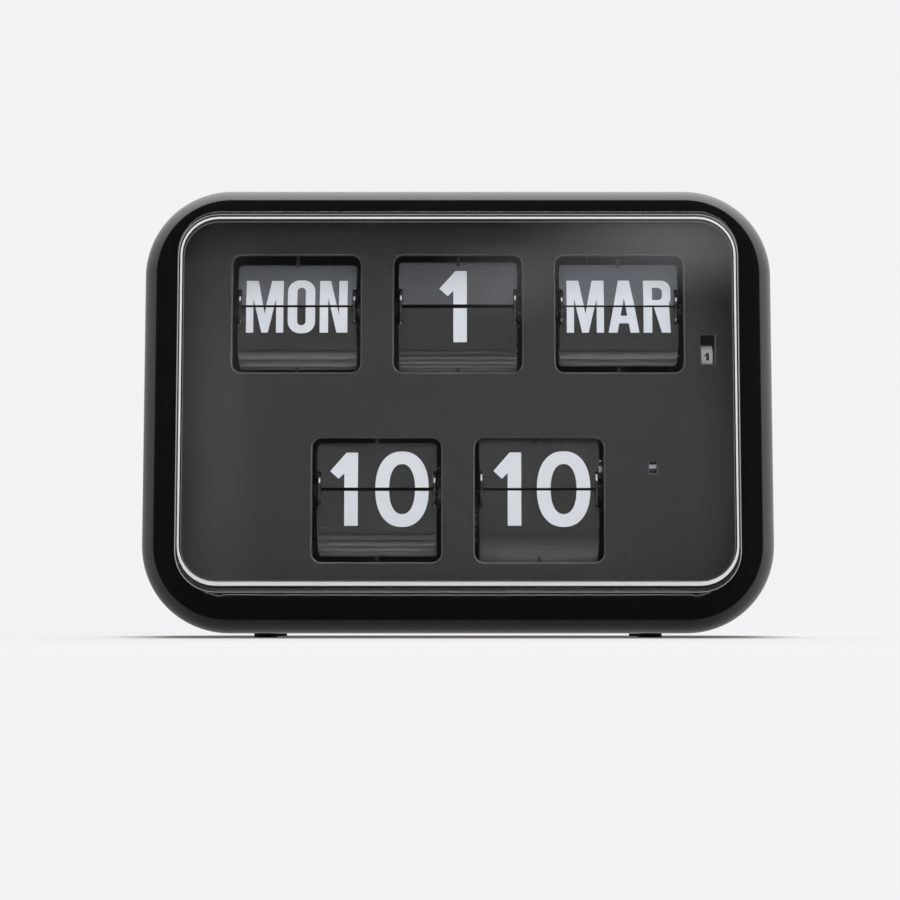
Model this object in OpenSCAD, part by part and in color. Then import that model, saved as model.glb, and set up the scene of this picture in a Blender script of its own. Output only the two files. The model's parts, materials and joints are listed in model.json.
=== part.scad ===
// Flip-leaf desk and wall clock with a day, date and month calendar.
// Origin: on the surface it stands on, below the middle of the case.
// The dial faces -Y, +X is to the right of someone reading it, +Z is up.

/* [Case] */
// Overall width of the case
case_w = 310; // [290:1:380]
// Height of the case without its feet
case_h = 219; // [214:1:270]
// Depth from the lens face to the rear face
case_d = 97; // [92:1:125]
// Corner radius of the case seen from the front
case_r = 43; // [34:1:50]
// Radius of the rounded rim round the front
rim_r = 24; // [22:1:27]
// Wall thickness of the case
case_wall = 3; // [2.5:0.1:4]
// Thickness of the rear cover plate
cover_t = 3; // [2.5:0.1:4]
// Distance from the sides of the case to the posts that carry the rear cover
post_inset = 7; // [6.5:0.5:8]
// Distance from the sides of the case to the posts that carry the dial
dial_post_inset = 10; // [9.5:0.5:12]
// Height of the posts above and below the middle
post_z = 62; // [50:1:70]

/* [Lens] */
// Distance from each side of the case to the clear lens
side_border = 19; // [16:0.5:21]
// Distance from the top and the bottom of the case to the lens when it isn't raised
end_border = 17; // [15:0.5:20]
// Corner radius of the lens
lens_r = 20; // [14:1:24]
// Thickness of the lens face
lens_t = 2.5; // [2:0.1:3]
// How far the lens sits above the middle of the case
lens_rise = 2.7; // [0:0.1:3]

/* [Dial] */
// Gap between the lens and the dial
dial_gap = 20.5; // [20:0.5:26]
// Thickness of the dial plate
dial_t = 2.5; // [2:0.1:3]
// Gap between the leaves and each side of their window
window_gap = 2.2; // [0.8:0.1:3]
// Height of a window above its split line
window_up = 25; // [24.5:0.1:26]
// Depth of the calendar windows below their split line
calendar_window_down = 33.4; // [32:0.2:36]
// Depth of the time windows below their split line
time_window_down = 35.9; // [34:0.2:38]
// Corner radius of the windows
window_r = 4.5; // [2:0.5:8]
// Gap between neighbouring display modules
module_gap = 2.8; // [0.4:0.1:5]
// Height of the calendar split line above the middle of the case
calendar_z = 52.5; // [50:0.5:58]
// Depth of the time split line below the middle of the case
time_z = 38.7; // [37:0.1:45]

/* [Leaves] */
// Width of a leaf
leaf_w = 59; // [56:0.2:60]
// Distance from a split line to the tip of a leaf that hangs below it
leaf_reach = 21.9; // [20:0.1:22.5]
// Thickness of a leaf
leaf_t = 0.16; // [0.12:0.01:0.2]
// Number of day leaves
day_leaves = 14; // [7:7:21]
// Number of date leaves
date_leaves = 31; // [31:1:31]
// Number of month leaves
month_leaves = 12; // [12:1:12]
// Number of hour leaves
hour_leaves = 24; // [24:1:24]
// Number of minute leaves
minute_leaves = 60; // [60:1:60]

/* [Drums] */
// Hinge circle radius of the day drum
day_drum_r = 11; // [10:0.5:12]
// Hinge circle radius of the date drum
date_drum_r = 12; // [11.5:0.5:13]
// Hinge circle radius of the month drum
month_drum_r = 9.5; // [9:0.5:11]
// Hinge circle radius of the hour drum
hour_drum_r = 12.5; // [12.5:0.5:13]
// Hinge circle radius of the minute drum
minute_drum_r = 17; // [16.5:0.5:18]
// Radius of the drum axles
axle_r = 1; // [0.8:0.1:1.2]
// Radial running clearance of every shaft
run_gap = 0.05; // [0.03:0.01:0.1]

/* [Gears] */
// Gear module of the setting and motor gears
gear_m = 0.8; // [0.7:0.05:0.85]
// Gear module of the pair between the minute drum and the hour train
lead_m = 0.48; // [0.46:0.01:0.5]
// Gear module of the pair between the hour train and the hour drum
train_m = 0.5; // [0.48:0.01:0.52]
// Teeth of the minute drum's gear
minute_teeth = 25; // [24:1:27]
// Teeth of the gear on a calendar drum
calendar_teeth = 20; // [16:1:20]
// Teeth of the motor pinion
pinion_teeth = 10; // [10:1:12]
// Thickness of a gear
gear_t = 2; // [1.5:0.1:2.2]

/* [Setting wheels] */
// Width of the thumb rim of a setting wheel
thumb_w = 5; // [4:0.5:6]
// Depth of the finger pockets in the rear cover
pocket_d = 8; // [6:0.5:9]

/* [Battery] */
// Diameter of the cell
cell_d = 33.2; // [26:0.2:34]
// Length of the cell
cell_l = 60; // [50:0.5:61]

/* [Mounting] */
// Height of the rubber feet
foot_h = 2; // [1:0.5:4]
// Radius of the rubber feet
foot_r = 6; // [4:0.5:8]
// Distance from the sides of the case to the middles of the feet
foot_inset = 60; // [50:1:80]
// Distance between the two wall keyholes
keyhole_pitch = 150; // [140:1:160]
// Radius of a keyhole's entry hole
keyhole_r = 4.5; // [4:0.1:5]

/* [Hidden] */
$fn = 64;

// Places along Y, from the lens face at the front to the cover at the rear
front_y = -case_d/2;
rear_y = case_d/2;
lens_back_y = front_y + lens_t;
dial_y = lens_back_y + dial_gap;
dial_back_y = dial_y + dial_t;
leaf_gap = 0.5;
leaf_y = dial_back_y + leaf_gap;
cover_y = rear_y - cover_t;

// The rim starts at the lens edge and rounds back to the sides
lens_proud = 0.5;
rim_y = front_y + lens_proud;
rim_start = asin(1 - side_border/rim_r);
rim_centre_y = rim_y + rim_r*cos(rim_start);

// Lens, its flange, and the lip of the case that the flange closes on
lens_w = case_w - 2*side_border;
lens_h = case_h - 2*end_border;
lens_gap = 0.2;
lens_wall = 2.2;
flange_t = 2;
flange_w = 3;
flange_gap = 0.3;
seal_t = 0.8;
lip_t = 1.3;
flange_inset = end_border - lens_rise - flange_w - flange_gap;
lens_lip_y = rim_centre_y + lip_t - sqrt(pow(rim_r, 2) - pow(rim_r - flange_inset, 2));
flange_y = lens_lip_y + seal_t;

// Places along Z
mid_z = foot_h + case_h/2;
lens_z = mid_z + lens_rise;
calendar_split_z = mid_z + calendar_z;
time_split_z = mid_z - time_z;

// Gear plane, cheeks and mounting ears beside the leaves, from the module's middle
gear_gap = 0.5;
gear_x = leaf_w/2 + gear_gap;
cheek_t = 1.5;
cheek_x = gear_x + gear_t + gear_gap;
cheek_reach = 4;
ear_w = 4.6;
ear_h = 8;
ear_t = 1.6;
ear_lap = 0.2;
bar_d = 6;
bar_t = 2;
frame_clear = 2;
window_lap = 1.5;
module_half = cheek_x + cheek_t + ear_w;
module_pitch = 2*module_half + module_gap;
window_w = leaf_w + 2*window_gap;

// The five display modules, in the order day, date, month, hour, minute
DAY = 0;
DATE = 1;
MONTH = 2;
HOUR = 3;
MINUTE = 4;
modules = [DAY, DATE, MONTH, HOUR, MINUTE];
leaf_count = [day_leaves, date_leaves, month_leaves, hour_leaves, minute_leaves];
drum_r = [day_drum_r, date_drum_r, month_drum_r, hour_drum_r, minute_drum_r];
module_x = [-module_pitch, 0, module_pitch, -module_pitch/2, module_pitch/2];
module_z = [calendar_split_z, calendar_split_z, calendar_split_z, time_split_z, time_split_z];
window_down = [
    calendar_window_down, calendar_window_down, calendar_window_down,
    time_window_down, time_window_down
];
// How far the upper front leaf leans back where the next leaf leaves it room, in degrees
leaf_lean = [21.5, 15.5, 11, 3, 3];
// Colour of each module's leaves
leaf_tone = [0.24, 0.3, 0.2, 0.17, 0.18];

// Leaf stack: each leaf clears the next one by this much
leaf_clear = 0.05;
split_gap = 0.6;
notch_w = 2;
notch_reach = 8.8;
tip_r = 1.6;
tab_w = 0.6;

// Side discs of a drum turn in the leaves' notches
disc_t = 1.2;
disc_inset = 0.6;
disc_x = leaf_w/2 - disc_inset - disc_t;
disc_lip = 0.8;
hinge_hole_r = 0.45;
// Groove in the inner face of a disc, which lets the discs turn past the pins of the front leaf
groove_d = 0.35;
groove_half = 0.55;
hub_r = 3;
sleeve_r = 2.1;

// Teeth: addendum, dedendum and the shares of a pitch at tip and root
tooth_up = 0.8;
tooth_down = 1.15;
tip_share = 0.12;
root_share = 0.3;

// Hour train: the minute drum drives the hour drum 24 times slower
train_pinion = 12;
train_wheel = 48;
hour_pinion = 8;
hour_wheel = 48;
train_r1 = lead_m*(train_pinion + train_wheel)/2;
train_r2 = train_m*(hour_pinion + hour_wheel)/2;
arbor_r = 1;
axle_fit = 0.02;

// Setting wheels
rear_gap = 0.5;
thumb_lip = 2;
wheel_axle_r = 1.5;
thumb_x = gear_x + gear_t;
knurls = 36;
set_modules = [DAY, DATE, MONTH, MINUTE];
pocket_w = 24;
pocket_wall = 2;
pocket_floor_y = rear_y - pocket_d;

// Running indicator and leap-year windows in the dial
indicator_x = module_x[MINUTE] + 56.1;
indicator_w = 3.6;
indicator_h = 5.3;
leap_x = module_x[MONTH] + 43.6;
leap_z = mid_z + 30.4;
leap_window_w = 6.9;
leap_window_h = 14.2;
leap_wheel_r = 8;
leap_wheel_w = 5.5;
leap_drop = 3.9;

// Motor, its pinion and the striped indicator drum share one shaft
motor_x = module_x[MINUTE] + module_half + 0.9;
motor_l = 12;
motor_h = 28;
motor_d = 27;
motor_shaft_r = 1;
indicator_l = 7;
motor_reach = gear_m*(minute_teeth + pinion_teeth)/2;
indicator_rise = 10.6;

// Screws
screw_r = 1.2;
screw_ease = 0.05;
screw_head_r = 3;
head_sink = 1.5;
dial_screw_r = 1.1;
dial_head_r = 2.6;
dial_head_t = 1.4;
small_screw_r = 0.8;
small_head_r = 1.8;

// Battery bay, opening to the rear at the lower left of the case
bay_wall = 2;
bay_l = cell_l + 6;
bay_x = -(case_w/2 - case_wall - 10.5) + bay_l/2 + bay_wall - 0.5;
bay_z = foot_h + 43;
bay_h = cell_d + 1.8;
bay_front_y = cover_y - cell_d - 5;
door_t = 2.5;
door_gap = 0.3;
door_lap = 2.5;
door_frame = 1.5;
hinge_pin_r = 0.8;
pin_l = 1.8;

function pitch_angle(m) = 360/leaf_count[m];
function axis_y(m) = leaf_y + drum_r[m];
function chord(m) = 2*drum_r[m]*sin(pitch_angle(m)/2);
// Angle between two leaves that just clear each other at a hinge
function clear_angle(m) = asin((leaf_t + leaf_clear)/chord(m));
function splay(m) = max(0, clear_angle(m) - pitch_angle(m)/2);
// Place of hinge k on the drum, 0 at the front and 90 at the top, with the split line halfway
// between the upper and the lower front hinge
function hinge_angle(m, k) = (k + 0.5)*pitch_angle(m);
function hinge_y(m, k) = axis_y(m) - drum_r[m]*cos(hinge_angle(m, k));
function hinge_z(m, k) = module_z[m] + drum_r[m]*sin(hinge_angle(m, k));
// Length of a leaf past its hinge pins, towards its tip and back towards the split line
function leaf_l(m) = leaf_reach - chord(m)/2;
function heel_l(m) = max(tab_w/2, min(chord(m) - split_gap,
    2*drum_r[m]*tan(pitch_angle(m)/2) - 2*(leaf_t + leaf_clear)/sin(pitch_angle(m)))/2);
// Direction of leaf k: 0 points up, 90 to the rear, 180 down. The upper front leaf rests short of
// the next leaf, and of that leaf's heel where it has one
function front_lean(m) = min(leaf_lean[m], heel_l(m) > tab_w/2
    ? hinge_angle(m, 0)
    : hinge_angle(m, 0) + pitch_angle(m)/2 - clear_angle(m));
function sag(m, k) =
    max(0, clear_angle(m) - 360 + hinge_angle(m, k) - pitch_angle(m)/2);
function leaf_angle(m, k) =
    k == 0 ? front_lean(m) : min(180, hinge_angle(m, k) - splay(m)) + sag(m, k);
// The highest point that the leaf stack reaches over its split line
function stack_top(m) = sqrt(pow(drum_r[m], 2) + pow(leaf_l(m), 2)
    + 2*drum_r[m]*leaf_l(m)*sin(splay(m)));
function stack_bottom(m) = drum_r[m] + leaf_l(m);
function bar_top_z(m) = max(stack_top(m), window_up + window_lap) + frame_clear;
function bar_bottom_z(m) = -max(stack_bottom(m), window_down[m]) - frame_clear;

// Setting wheel of a module
function drum_teeth(m) = m == MINUTE ? minute_teeth : calendar_teeth;
function drum_gear_r(m) = gear_m*drum_teeth(m)/2;
function set_room(m) = rear_y - rear_gap - axis_y(m) - drum_gear_r(m) - thumb_lip;
function set_teeth(m) = floor(set_room(m)/gear_m);
function set_y(m) = axis_y(m) + gear_m*(drum_teeth(m) + set_teeth(m))/2;
function thumb_r(m) = rear_y - rear_gap - set_y(m);

// Angle of gear b's first tooth when it meshes with gear a, whose first tooth is at start
function mesh_start(toward, start, teeth_a, teeth_b) =
    let (share = (toward - start)*teeth_a/360)
    toward + 180 + (share - floor(share) + 0.5)*360/teeth_b;

// Hour train shaft, where both centre distances are met below the drum axes
train_dy = axis_y(HOUR) - axis_y(MINUTE);
train_y = axis_y(MINUTE)
    + (pow(train_r1, 2) - pow(train_r2, 2) + pow(train_dy, 2))/(2*train_dy);
train_drop = sqrt(pow(train_r1, 2) - pow(train_y - axis_y(MINUTE), 2));
train_z = time_split_z - train_drop;

// Motor shaft, above and in front of the minute axis
motor_z = time_split_z + indicator_rise;
motor_y = axis_y(MINUTE) - sqrt(pow(motor_reach, 2) - pow(indicator_rise, 2));
leap_y = dial_back_y + 0.3 + leap_wheel_r;

// Calendar rockers, between the two rows
rocker_r = 1.6;
rocker_y = axis_y(DATE) + 1;
rocker_z = (calendar_split_z + bar_bottom_z(DATE) + time_split_z + bar_top_z(MINUTE))/2;
arm_t = 1.4;
arm_w = 3;
cam_r = 6;
cam_flat = 1;

module rounded_rect(w, h, r) {
    square([w - 2*r, h], center = true);
    square([w, h - 2*r], center = true);
    for (sx = [-1, 1], sz = [-1, 1]) {
        translate([sx*(w/2 - r), sz*(h/2 - r)]) circle(r);
    }
}

// A flat shape stood up in the XZ plane, from y0 back to y1
module upright(y0, y1) {
    translate([0, y1, 0]) rotate([90, 0, 0]) linear_extrude(y1 - y0) children();
}

// A flat shape in the YZ plane, from x0 to x1
module sideways(x0, x1) {
    translate([x0, 0, 0]) rotate([90, 0, 90]) linear_extrude(x1 - x0) children();
}

// A round bar along X
module rod_x(x0, x1, y, z, r) {
    translate([x0, y, z]) rotate([0, 90, 0]) cylinder(r = r, h = x1 - x0);
}

// A round bar along Y
module rod_y(x, z, y0, y1, r) {
    translate([x, y1, z]) rotate([90, 0, 0]) cylinder(r = r, h = y1 - y0);
}

module box(x0, x1, y0, y1, z0, z1) {
    translate([x0, y0, z0]) cube([x1 - x0, y1 - y0, z1 - z0]);
}

module gear_outline(teeth, m, start) {
    pitch = 360/teeth;
    top_r = teeth*m/2 + tooth_up*m;
    low_r = teeth*m/2 - tooth_down*m;
    polygon([
        for (i = [0 : teeth - 1])
            for (p = [[-root_share, low_r], [-tip_share, top_r], [tip_share, top_r], [root_share, low_r]])
                p[1]*[cos(start + (i + p[0])*pitch), sin(start + (i + p[0])*pitch)]
    ]);
}

module gear(x0, x1, y, z, teeth, m, start) {
    translate([0, y, z]) sideways(x0, x1) gear_outline(teeth, m, start);
}

// Case ------------------------------------------------------------------

// Rounded block of the case, or of the hollow in it when inset is the wall
module case_block(inset, back_y) {
    w = case_w - 2*inset;
    h = case_h - 2*inset;
    r = case_r - inset;
    edge = rim_r - inset;
    flat_y = rim_centre_y - edge*cos(rim_start);
    module edge_half(half) {
        intersection() {
            translate([0, flat_y]) square([half, back_y - flat_y]);
            union() {
                translate([0, rim_centre_y]) square([half, back_y - rim_centre_y]);
                translate([0, flat_y]) square([half - edge, back_y - flat_y]);
                translate([half - edge, rim_centre_y]) circle(edge);
            }
        }
    }
    module edge_full(half) {
        edge_half(half);
        mirror([1, 0]) edge_half(half);
    }
    translate([0, 0, mid_z]) {
        translate([0, 0, -(h/2 - r)]) linear_extrude(h - 2*r) edge_full(w/2);
        translate([-(w/2 - r), 0, 0]) rotate([90, 0, 90]) linear_extrude(w - 2*r)
            rotate([0, 0, 90]) mirror([0, 1]) edge_full(h/2);
        for (sx = [-1, 1], sz = [-1, 1]) {
            translate([sx*(w/2 - r), 0, sz*(h/2 - r)]) rotate([-90, 0, 0])
                rotate_extrude() edge_half(r);
        }
    }
}

post_x = case_w/2 - post_inset;
post_r = 3.5;
dial_post_x = case_w/2 - dial_post_inset;
// The dial posts start inside the wall of the rounded rim
dial_post_y = rim_centre_y + 0.8
    - sqrt(pow(rim_r, 2) - pow(dial_post_x + post_r - case_w/2 + rim_r, 2));
post_front_y = dial_back_y + 4;
post_web_t = 4;
post_web_w = case_w/2 - case_wall/2 - post_x;
dial_screw_l = 9;
case_screw_l = 11;
lip_w = 1.5;

// Outline of the lens, made larger all round by grow
module lens_outline(grow) {
    rounded_rect(lens_w + 2*grow, lens_h + 2*grow, lens_r + grow);
}

module front_case() {
    color([0.05, 0.05, 0.055])
    difference() {
        union() {
            difference() {
                case_block(0, rear_y);
                case_block(case_wall, rear_y + 1);
            }
            // Lip behind the front wall that the lens flange closes on
            intersection() {
                case_block(case_wall/2, rear_y);
                translate([0, 0, lens_z]) upright(front_y, lens_lip_y)
                    lens_outline(flange_w + flange_gap + lip_w);
            }
            for (sx = [-1, 1], sz = [-1, 1]) {
                rod_y(sx*dial_post_x, mid_z + sz*post_z, dial_post_y, dial_y, post_r);
                rod_y(sx*post_x, mid_z + sz*post_z, post_front_y, cover_y, post_r);
                translate([sx*(post_x + post_web_w/2), 0, mid_z + sz*post_z])
                    box(-post_web_w/2, post_web_w/2, post_front_y, cover_y, -post_web_t/2, post_web_t/2);
            }
        }
        translate([0, 0, lens_z]) {
            upright(front_y - 1, lens_lip_y + 1) lens_outline(lens_gap);
            upright(lens_lip_y, dial_y) lens_outline(flange_w + flange_gap);
        }
        for (sx = [-1, 1], sz = [-1, 1]) {
            rod_y(sx*dial_post_x, mid_z + sz*post_z, dial_y - dial_screw_l, dial_y + 1, dial_screw_r);
            rod_y(sx*post_x, mid_z + sz*post_z, cover_y - case_screw_l - 1, cover_y + 1, screw_r);
        }
    }
}

lift_w = 18;
lift_d = 0.6;
module lens() {
    color([0.85, 0.88, 0.9, 0.3])
    translate([0, 0, lens_z])
    difference() {
        union() {
            upright(front_y, flange_y + flange_t) lens_outline(0);
            upright(flange_y, flange_y + flange_t) lens_outline(flange_w);
        }
        upright(lens_back_y, flange_y + flange_t + 1) lens_outline(-lens_wall);
        // Shallow notch in the lower edge for lifting the lens out
        box(-lift_w/2, lift_w/2, front_y - 1, front_y + lift_d, -lens_h/2 - 1, -lens_h/2 + 2*lift_d);
    }
}

module lens_seal() {
    color([0.1, 0.1, 0.1])
    translate([0, 0, lens_z])
    difference() {
        upright(lens_lip_y, flange_y) lens_outline(flange_w);
        upright(lens_lip_y - 1, flange_y + 1) lens_outline(lens_gap);
    }
}

// Dial ------------------------------------------------------------------

dial_w = case_w - 2*case_wall - 6;
dial_h = case_h - 2*case_wall - 5;
dial_r = case_r - case_wall - 5;
standoff_y = dial_back_y + 8;
board_t = 1.6;
board_x = [indicator_x + 8, indicator_x + 44];
board_z = [mid_z - 74, mid_z - 34];
board_screw_inset = 4;
function window_h(m) = window_up + window_down[m];
function window_mid_z(m) = module_z[m] + (window_up - window_down[m])/2;

module board_corners() {
    for (x = [board_x[0] + board_screw_inset, board_x[1] - board_screw_inset])
        for (z = [board_z[0] + board_screw_inset, board_z[1] - board_screw_inset])
            translate([x, 0, z]) children();
}

module ear_places(m) {
    for (sx = [-1, 1], z = [bar_top_z(m) - ear_h/2, bar_bottom_z(m) + ear_h/2])
        translate([module_x[m] + sx*(cheek_x + cheek_t + ear_w/2), 0, module_z[m] + z])
            children();
}

module dial_plate() {
    color([0.2, 0.2, 0.195])
    difference() {
        union() {
            translate([0, 0, mid_z]) upright(dial_y, dial_back_y)
                rounded_rect(dial_w, dial_h, dial_r);
            board_corners() rod_y(0, 0, dial_back_y, standoff_y, 2.5);
        }
        for (m = modules) {
            translate([module_x[m], 0, window_mid_z(m)]) upright(dial_y - 1, dial_back_y + 1)
                rounded_rect(window_w, window_h(m), window_r);
            ear_places(m)
                rod_y(0, 0, dial_back_y - 1.6, dial_back_y + 1, small_screw_r + screw_ease);
            // Groove above the window for a finger that stands forward of the plate's back
            if (finger_y(m) < dial_back_y + finger_gap) {
                translate([module_x[m], 0, module_z[m]])
                    box(-finger_w/2 - finger_ease, finger_w/2 + finger_ease,
                        finger_y(m) - finger_gap, dial_back_y + 1, window_up - 1, bar_top_z(m));
            }
        }
        translate([indicator_x, 0, motor_z])
            box(-indicator_w/2, indicator_w/2, dial_y - 1, dial_back_y + 1, -indicator_h/2, indicator_h/2);
        translate([leap_x, 0, leap_z])
            box(-leap_window_w/2, leap_window_w/2, dial_y - 1, dial_back_y + 1,
                -leap_window_h/2, leap_window_h/2);
        board_corners() rod_y(0, 0, standoff_y - 5, standoff_y + 1, small_screw_r + screw_ease);
        for (sx = [-1, 1], sz = [-1, 1]) {
            rod_y(sx*dial_post_x, mid_z + sz*post_z, dial_y - 1, dial_back_y + 1,
                dial_screw_r + 0.2);
        }
    }
}

// A pan-head screw along Y whose head rests on y and whose shank runs forward
module screw(y, length, r, head_r, head_t) {
    rod_y(0, 0, y - length, y, r);
    rod_y(0, 0, y, y + head_t, head_r);
}

module dial_screws() {
    color("silver")
    for (sx = [-1, 1], sz = [-1, 1]) {
        translate([sx*dial_post_x, 0, mid_z + sz*post_z])
            screw(dial_back_y, dial_screw_l, dial_screw_r - screw_ease, dial_head_r, dial_head_t);
    }
}

module module_screws() {
    color("silver")
    for (m = modules) {
        ear_places(m) screw(dial_back_y + ear_t, 3, small_screw_r, small_head_r, 1);
    }
}

foot_rear_inset = 8;
module rubber_feet() {
    color([0.08, 0.08, 0.08])
    for (sx = [-1, 1], y = [rim_centre_y + 2*foot_r, rear_y - foot_r - foot_rear_inset]) {
        translate([sx*(case_w/2 - foot_inset), y, 0]) cylinder(r = foot_r, h = foot_h);
    }
}

// Display modules -------------------------------------------------------

stop_w = 1.6;
stop_t = 0.8;
stop_gap = 0.4;
stop_rise = 2.6;

// Two cheeks joined by a bar above and below the leaves, with four mounting ears
module display_frame(m) {
    back_y = axis_y(m) + min(cheek_reach, drum_gear_r(m) - thumb_lip - 2*gear_m);
    top_z = bar_top_z(m);
    low_z = bar_bottom_z(m);
    inner = cheek_x;
    outer = cheek_x + cheek_t;
    color([0.55, 0.56, 0.58])
    difference() {
        union() {
            translate([module_x[m], 0, module_z[m]]) {
                for (sx = [-1, 1]) {
                    translate([sx*(inner + outer)/2, 0, 0])
                        box(-cheek_t/2, cheek_t/2, dial_back_y, back_y, low_z, top_z);
                }
                box(-outer, outer, dial_back_y, dial_back_y + bar_d, top_z - bar_t, top_z);
                box(-outer, outer, dial_back_y, dial_back_y + bar_d, low_z, low_z + bar_t);
                // Stop tab that shows at the bottom of the window
                box(-stop_w/2, stop_w/2, leaf_y + stop_gap, leaf_y + stop_gap + stop_t,
                    low_z, -window_down[m] + stop_rise);
            }
            ear_places(m)
                box(-ear_w/2 - ear_lap, ear_w/2 + ear_lap, dial_back_y, dial_back_y + ear_t,
                    -ear_h/2, ear_h/2);
        }
        rod_x(module_x[m] - outer - 1, module_x[m] + outer + 1, axis_y(m), module_z[m], axle_r + axle_fit);
        ear_places(m)
            rod_y(0, 0, dial_back_y - 1, dial_back_y + ear_t + 1, small_screw_r + 0.3);
        if (m == HOUR || m == MINUTE) {
            rod_x(module_x[HOUR], module_x[MINUTE], train_y, train_z, arbor_r + run_gap);
        }
        if (m == MINUTE) {
            rod_x(module_x[m] + inner - 1, module_x[m] + outer + 1, motor_y, motor_z, motor_shaft_r + 0.6);
        }
    }
}

// Where the first tooth of each drum gear points
minute_gear_start = atan2(indicator_rise, motor_y - axis_y(MINUTE));
train_up = atan2(time_split_z - train_z, axis_y(MINUTE) - train_y);
hour_up = atan2(time_split_z - train_z, axis_y(HOUR) - train_y);

module drum_body(m) {
    n = leaf_count[m];
    rim = drum_r[m] + disc_lip;
    spacer = cheek_x - 0.2;
    difference() {
        union() {
            for (sx = [-1, 1]) {
                x = sx > 0 ? disc_x : -disc_x - disc_t;
                rod_x(x, x + disc_t, 0, 0, rim);
            }
            rod_x(-disc_x, disc_x, 0, 0, hub_r);
            rod_x(-spacer, spacer, 0, 0, sleeve_r);
            children();
        }
        rod_x(-spacer - 1, spacer + 1, 0, 0, axle_r + run_gap);
        for (sx = [-1, 1]) {
            x = sx > 0 ? disc_x - 1 : -disc_x - groove_d;
            difference() {
                rod_x(x, x + groove_d + 1, 0, 0, drum_r[m] + groove_half);
                rod_x(x - 1, x + groove_d + 2, 0, 0, drum_r[m] - groove_half);
            }
        }
        for (sx = [-1, 1], k = [0 : n - 1]) {
            x = sx > 0 ? disc_x - 0.5 : -disc_x - disc_t - 0.5;
            a = hinge_angle(m, k);
            rod_x(x, x + disc_t + 1, -drum_r[m]*cos(a), drum_r[m]*sin(a), hinge_hole_r, $fn = 16);
        }
    }
}

module calendar_drum(m) {
    color([0.75, 0.76, 0.78])
    translate([module_x[m], axis_y(m), module_z[m]]) drum_body(m) {
        gear(gear_x, gear_x + gear_t, 0, 0, calendar_teeth, gear_m, 0);
        cam(-gear_x - gear_t, -gear_x);
    }
}

// Round cam with one flat, which lets a rocker drop once a turn
module cam(x0, x1) {
    difference() {
        rod_x(x0, x1, 0, 0, cam_r);
        box(x0 - 1, x1 + 1, -cam_r - 1, -cam_r + cam_flat, -cam_r, cam_r);
    }
}

module hour_drum() {
    color([0.75, 0.76, 0.78])
    translate([module_x[HOUR], axis_y(HOUR), module_z[HOUR]]) drum_body(HOUR) {
        gear(gear_x, gear_x + gear_t, 0, 0, hour_wheel, train_m, hour_up + 180/hour_wheel);
        cam(-gear_x - gear_t, -gear_x);
    }
}

module minute_drum() {
    color([0.75, 0.76, 0.78])
    translate([module_x[MINUTE], axis_y(MINUTE), module_z[MINUTE]]) drum_body(MINUTE) {
        gear(gear_x, gear_x + gear_t, 0, 0, minute_teeth, gear_m, minute_gear_start);
        gear(-gear_x - gear_t, -gear_x, 0, 0, train_pinion, lead_m,
            train_up + 180/train_pinion);
    }
}

module leaf_outline(m, tab) {
    half = leaf_w/2;
    inner = half - notch_w;
    tip = leaf_l(m);
    heel = heel_l(m);
    notch = notch_reach - chord(m)/2;
    side = concat(heel > tab_w/2 ? [[inner, -heel], [inner, -tab_w/2]] : [], [
        [tab, -tab_w/2], [tab, tab_w/2], [inner, tab_w/2], [inner, notch], [half, notch],
        [half, tip - tip_r], [half - tip_r*0.3, tip - tip_r*0.3], [half - tip_r, tip]
    ]);
    count = len(side);
    polygon(concat(side, [for (i = [1 : count]) [-side[count - i][0], side[count - i][1]]]));
}

module leaf(m, k, tab) {
    translate([module_x[m], hinge_y(m, k), hinge_z(m, k)])
        rotate([90 - leaf_angle(m, k), 0, 0])
            translate([0, 0, -leaf_t/2]) linear_extrude(leaf_t) leaf_outline(m, tab);
}

module leaf_pack(m) {
    color(leaf_tone[m]*[1, 1, 1])
    for (k = [1 : leaf_count[m] - 1]) {
        leaf(m, k, disc_x + disc_t - 0.05);
    }
}

module front_leaf(m) {
    color(leaf_tone[m]*[1.4, 1.4, 1.5]) leaf(m, 0, disc_x + groove_d - 0.1);
}

module drum_axles() {
    color("silver")
    for (m = modules) {
        rod_x(module_x[m] - cheek_x - cheek_t, module_x[m] + cheek_x + cheek_t,
            axis_y(m), module_z[m], axle_r);
    }
}

// Spring finger that holds the upper front leaf by its tip until the drum pulls it down
finger_t = 0.25;
finger_w = 1.6;
finger_lap = 1.5;
finger_gap = 0.15;
finger_ease = 0.5;
// End of a finger above the hinge of its leaf, and the front of the finger there
function finger_rise(m) = leaf_l(m)*cos(front_lean(m)) - finger_lap;
function finger_y(m) = hinge_y(m, 0) + finger_rise(m)*tan(front_lean(m)) - leaf_t/2
    - finger_gap - finger_t;
module retaining_fingers() {
    color("silver")
    for (m = modules) {
        tip_y = finger_y(m);
        end_z = hinge_z(m, 0) + finger_rise(m) - module_z[m];
        foot_z = bar_top_z(m) - bar_t;
        translate([module_x[m], 0, module_z[m]]) {
            box(-finger_w/2, finger_w/2, tip_y, tip_y + finger_t, end_z, foot_z);
            box(-finger_w/2, finger_w/2, min(tip_y, dial_back_y + bar_d/2),
                max(tip_y + finger_t, dial_back_y + bar_d/2), foot_z - finger_t, foot_z);
        }
    }
}

// Drive -----------------------------------------------------------------

module hour_train_gear() {
    left = module_x[HOUR] + gear_x;
    right = module_x[MINUTE] - gear_x;
    color([0.9, 0.88, 0.8])
    union() {
        gear(right - gear_t, right, train_y, train_z, train_wheel, lead_m, train_up + 180);
        gear(left, left + gear_t, train_y, train_z, hour_pinion, train_m, hour_up + 180);
        rod_x(left, right, train_y, train_z, arbor_r);
    }
}

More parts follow.
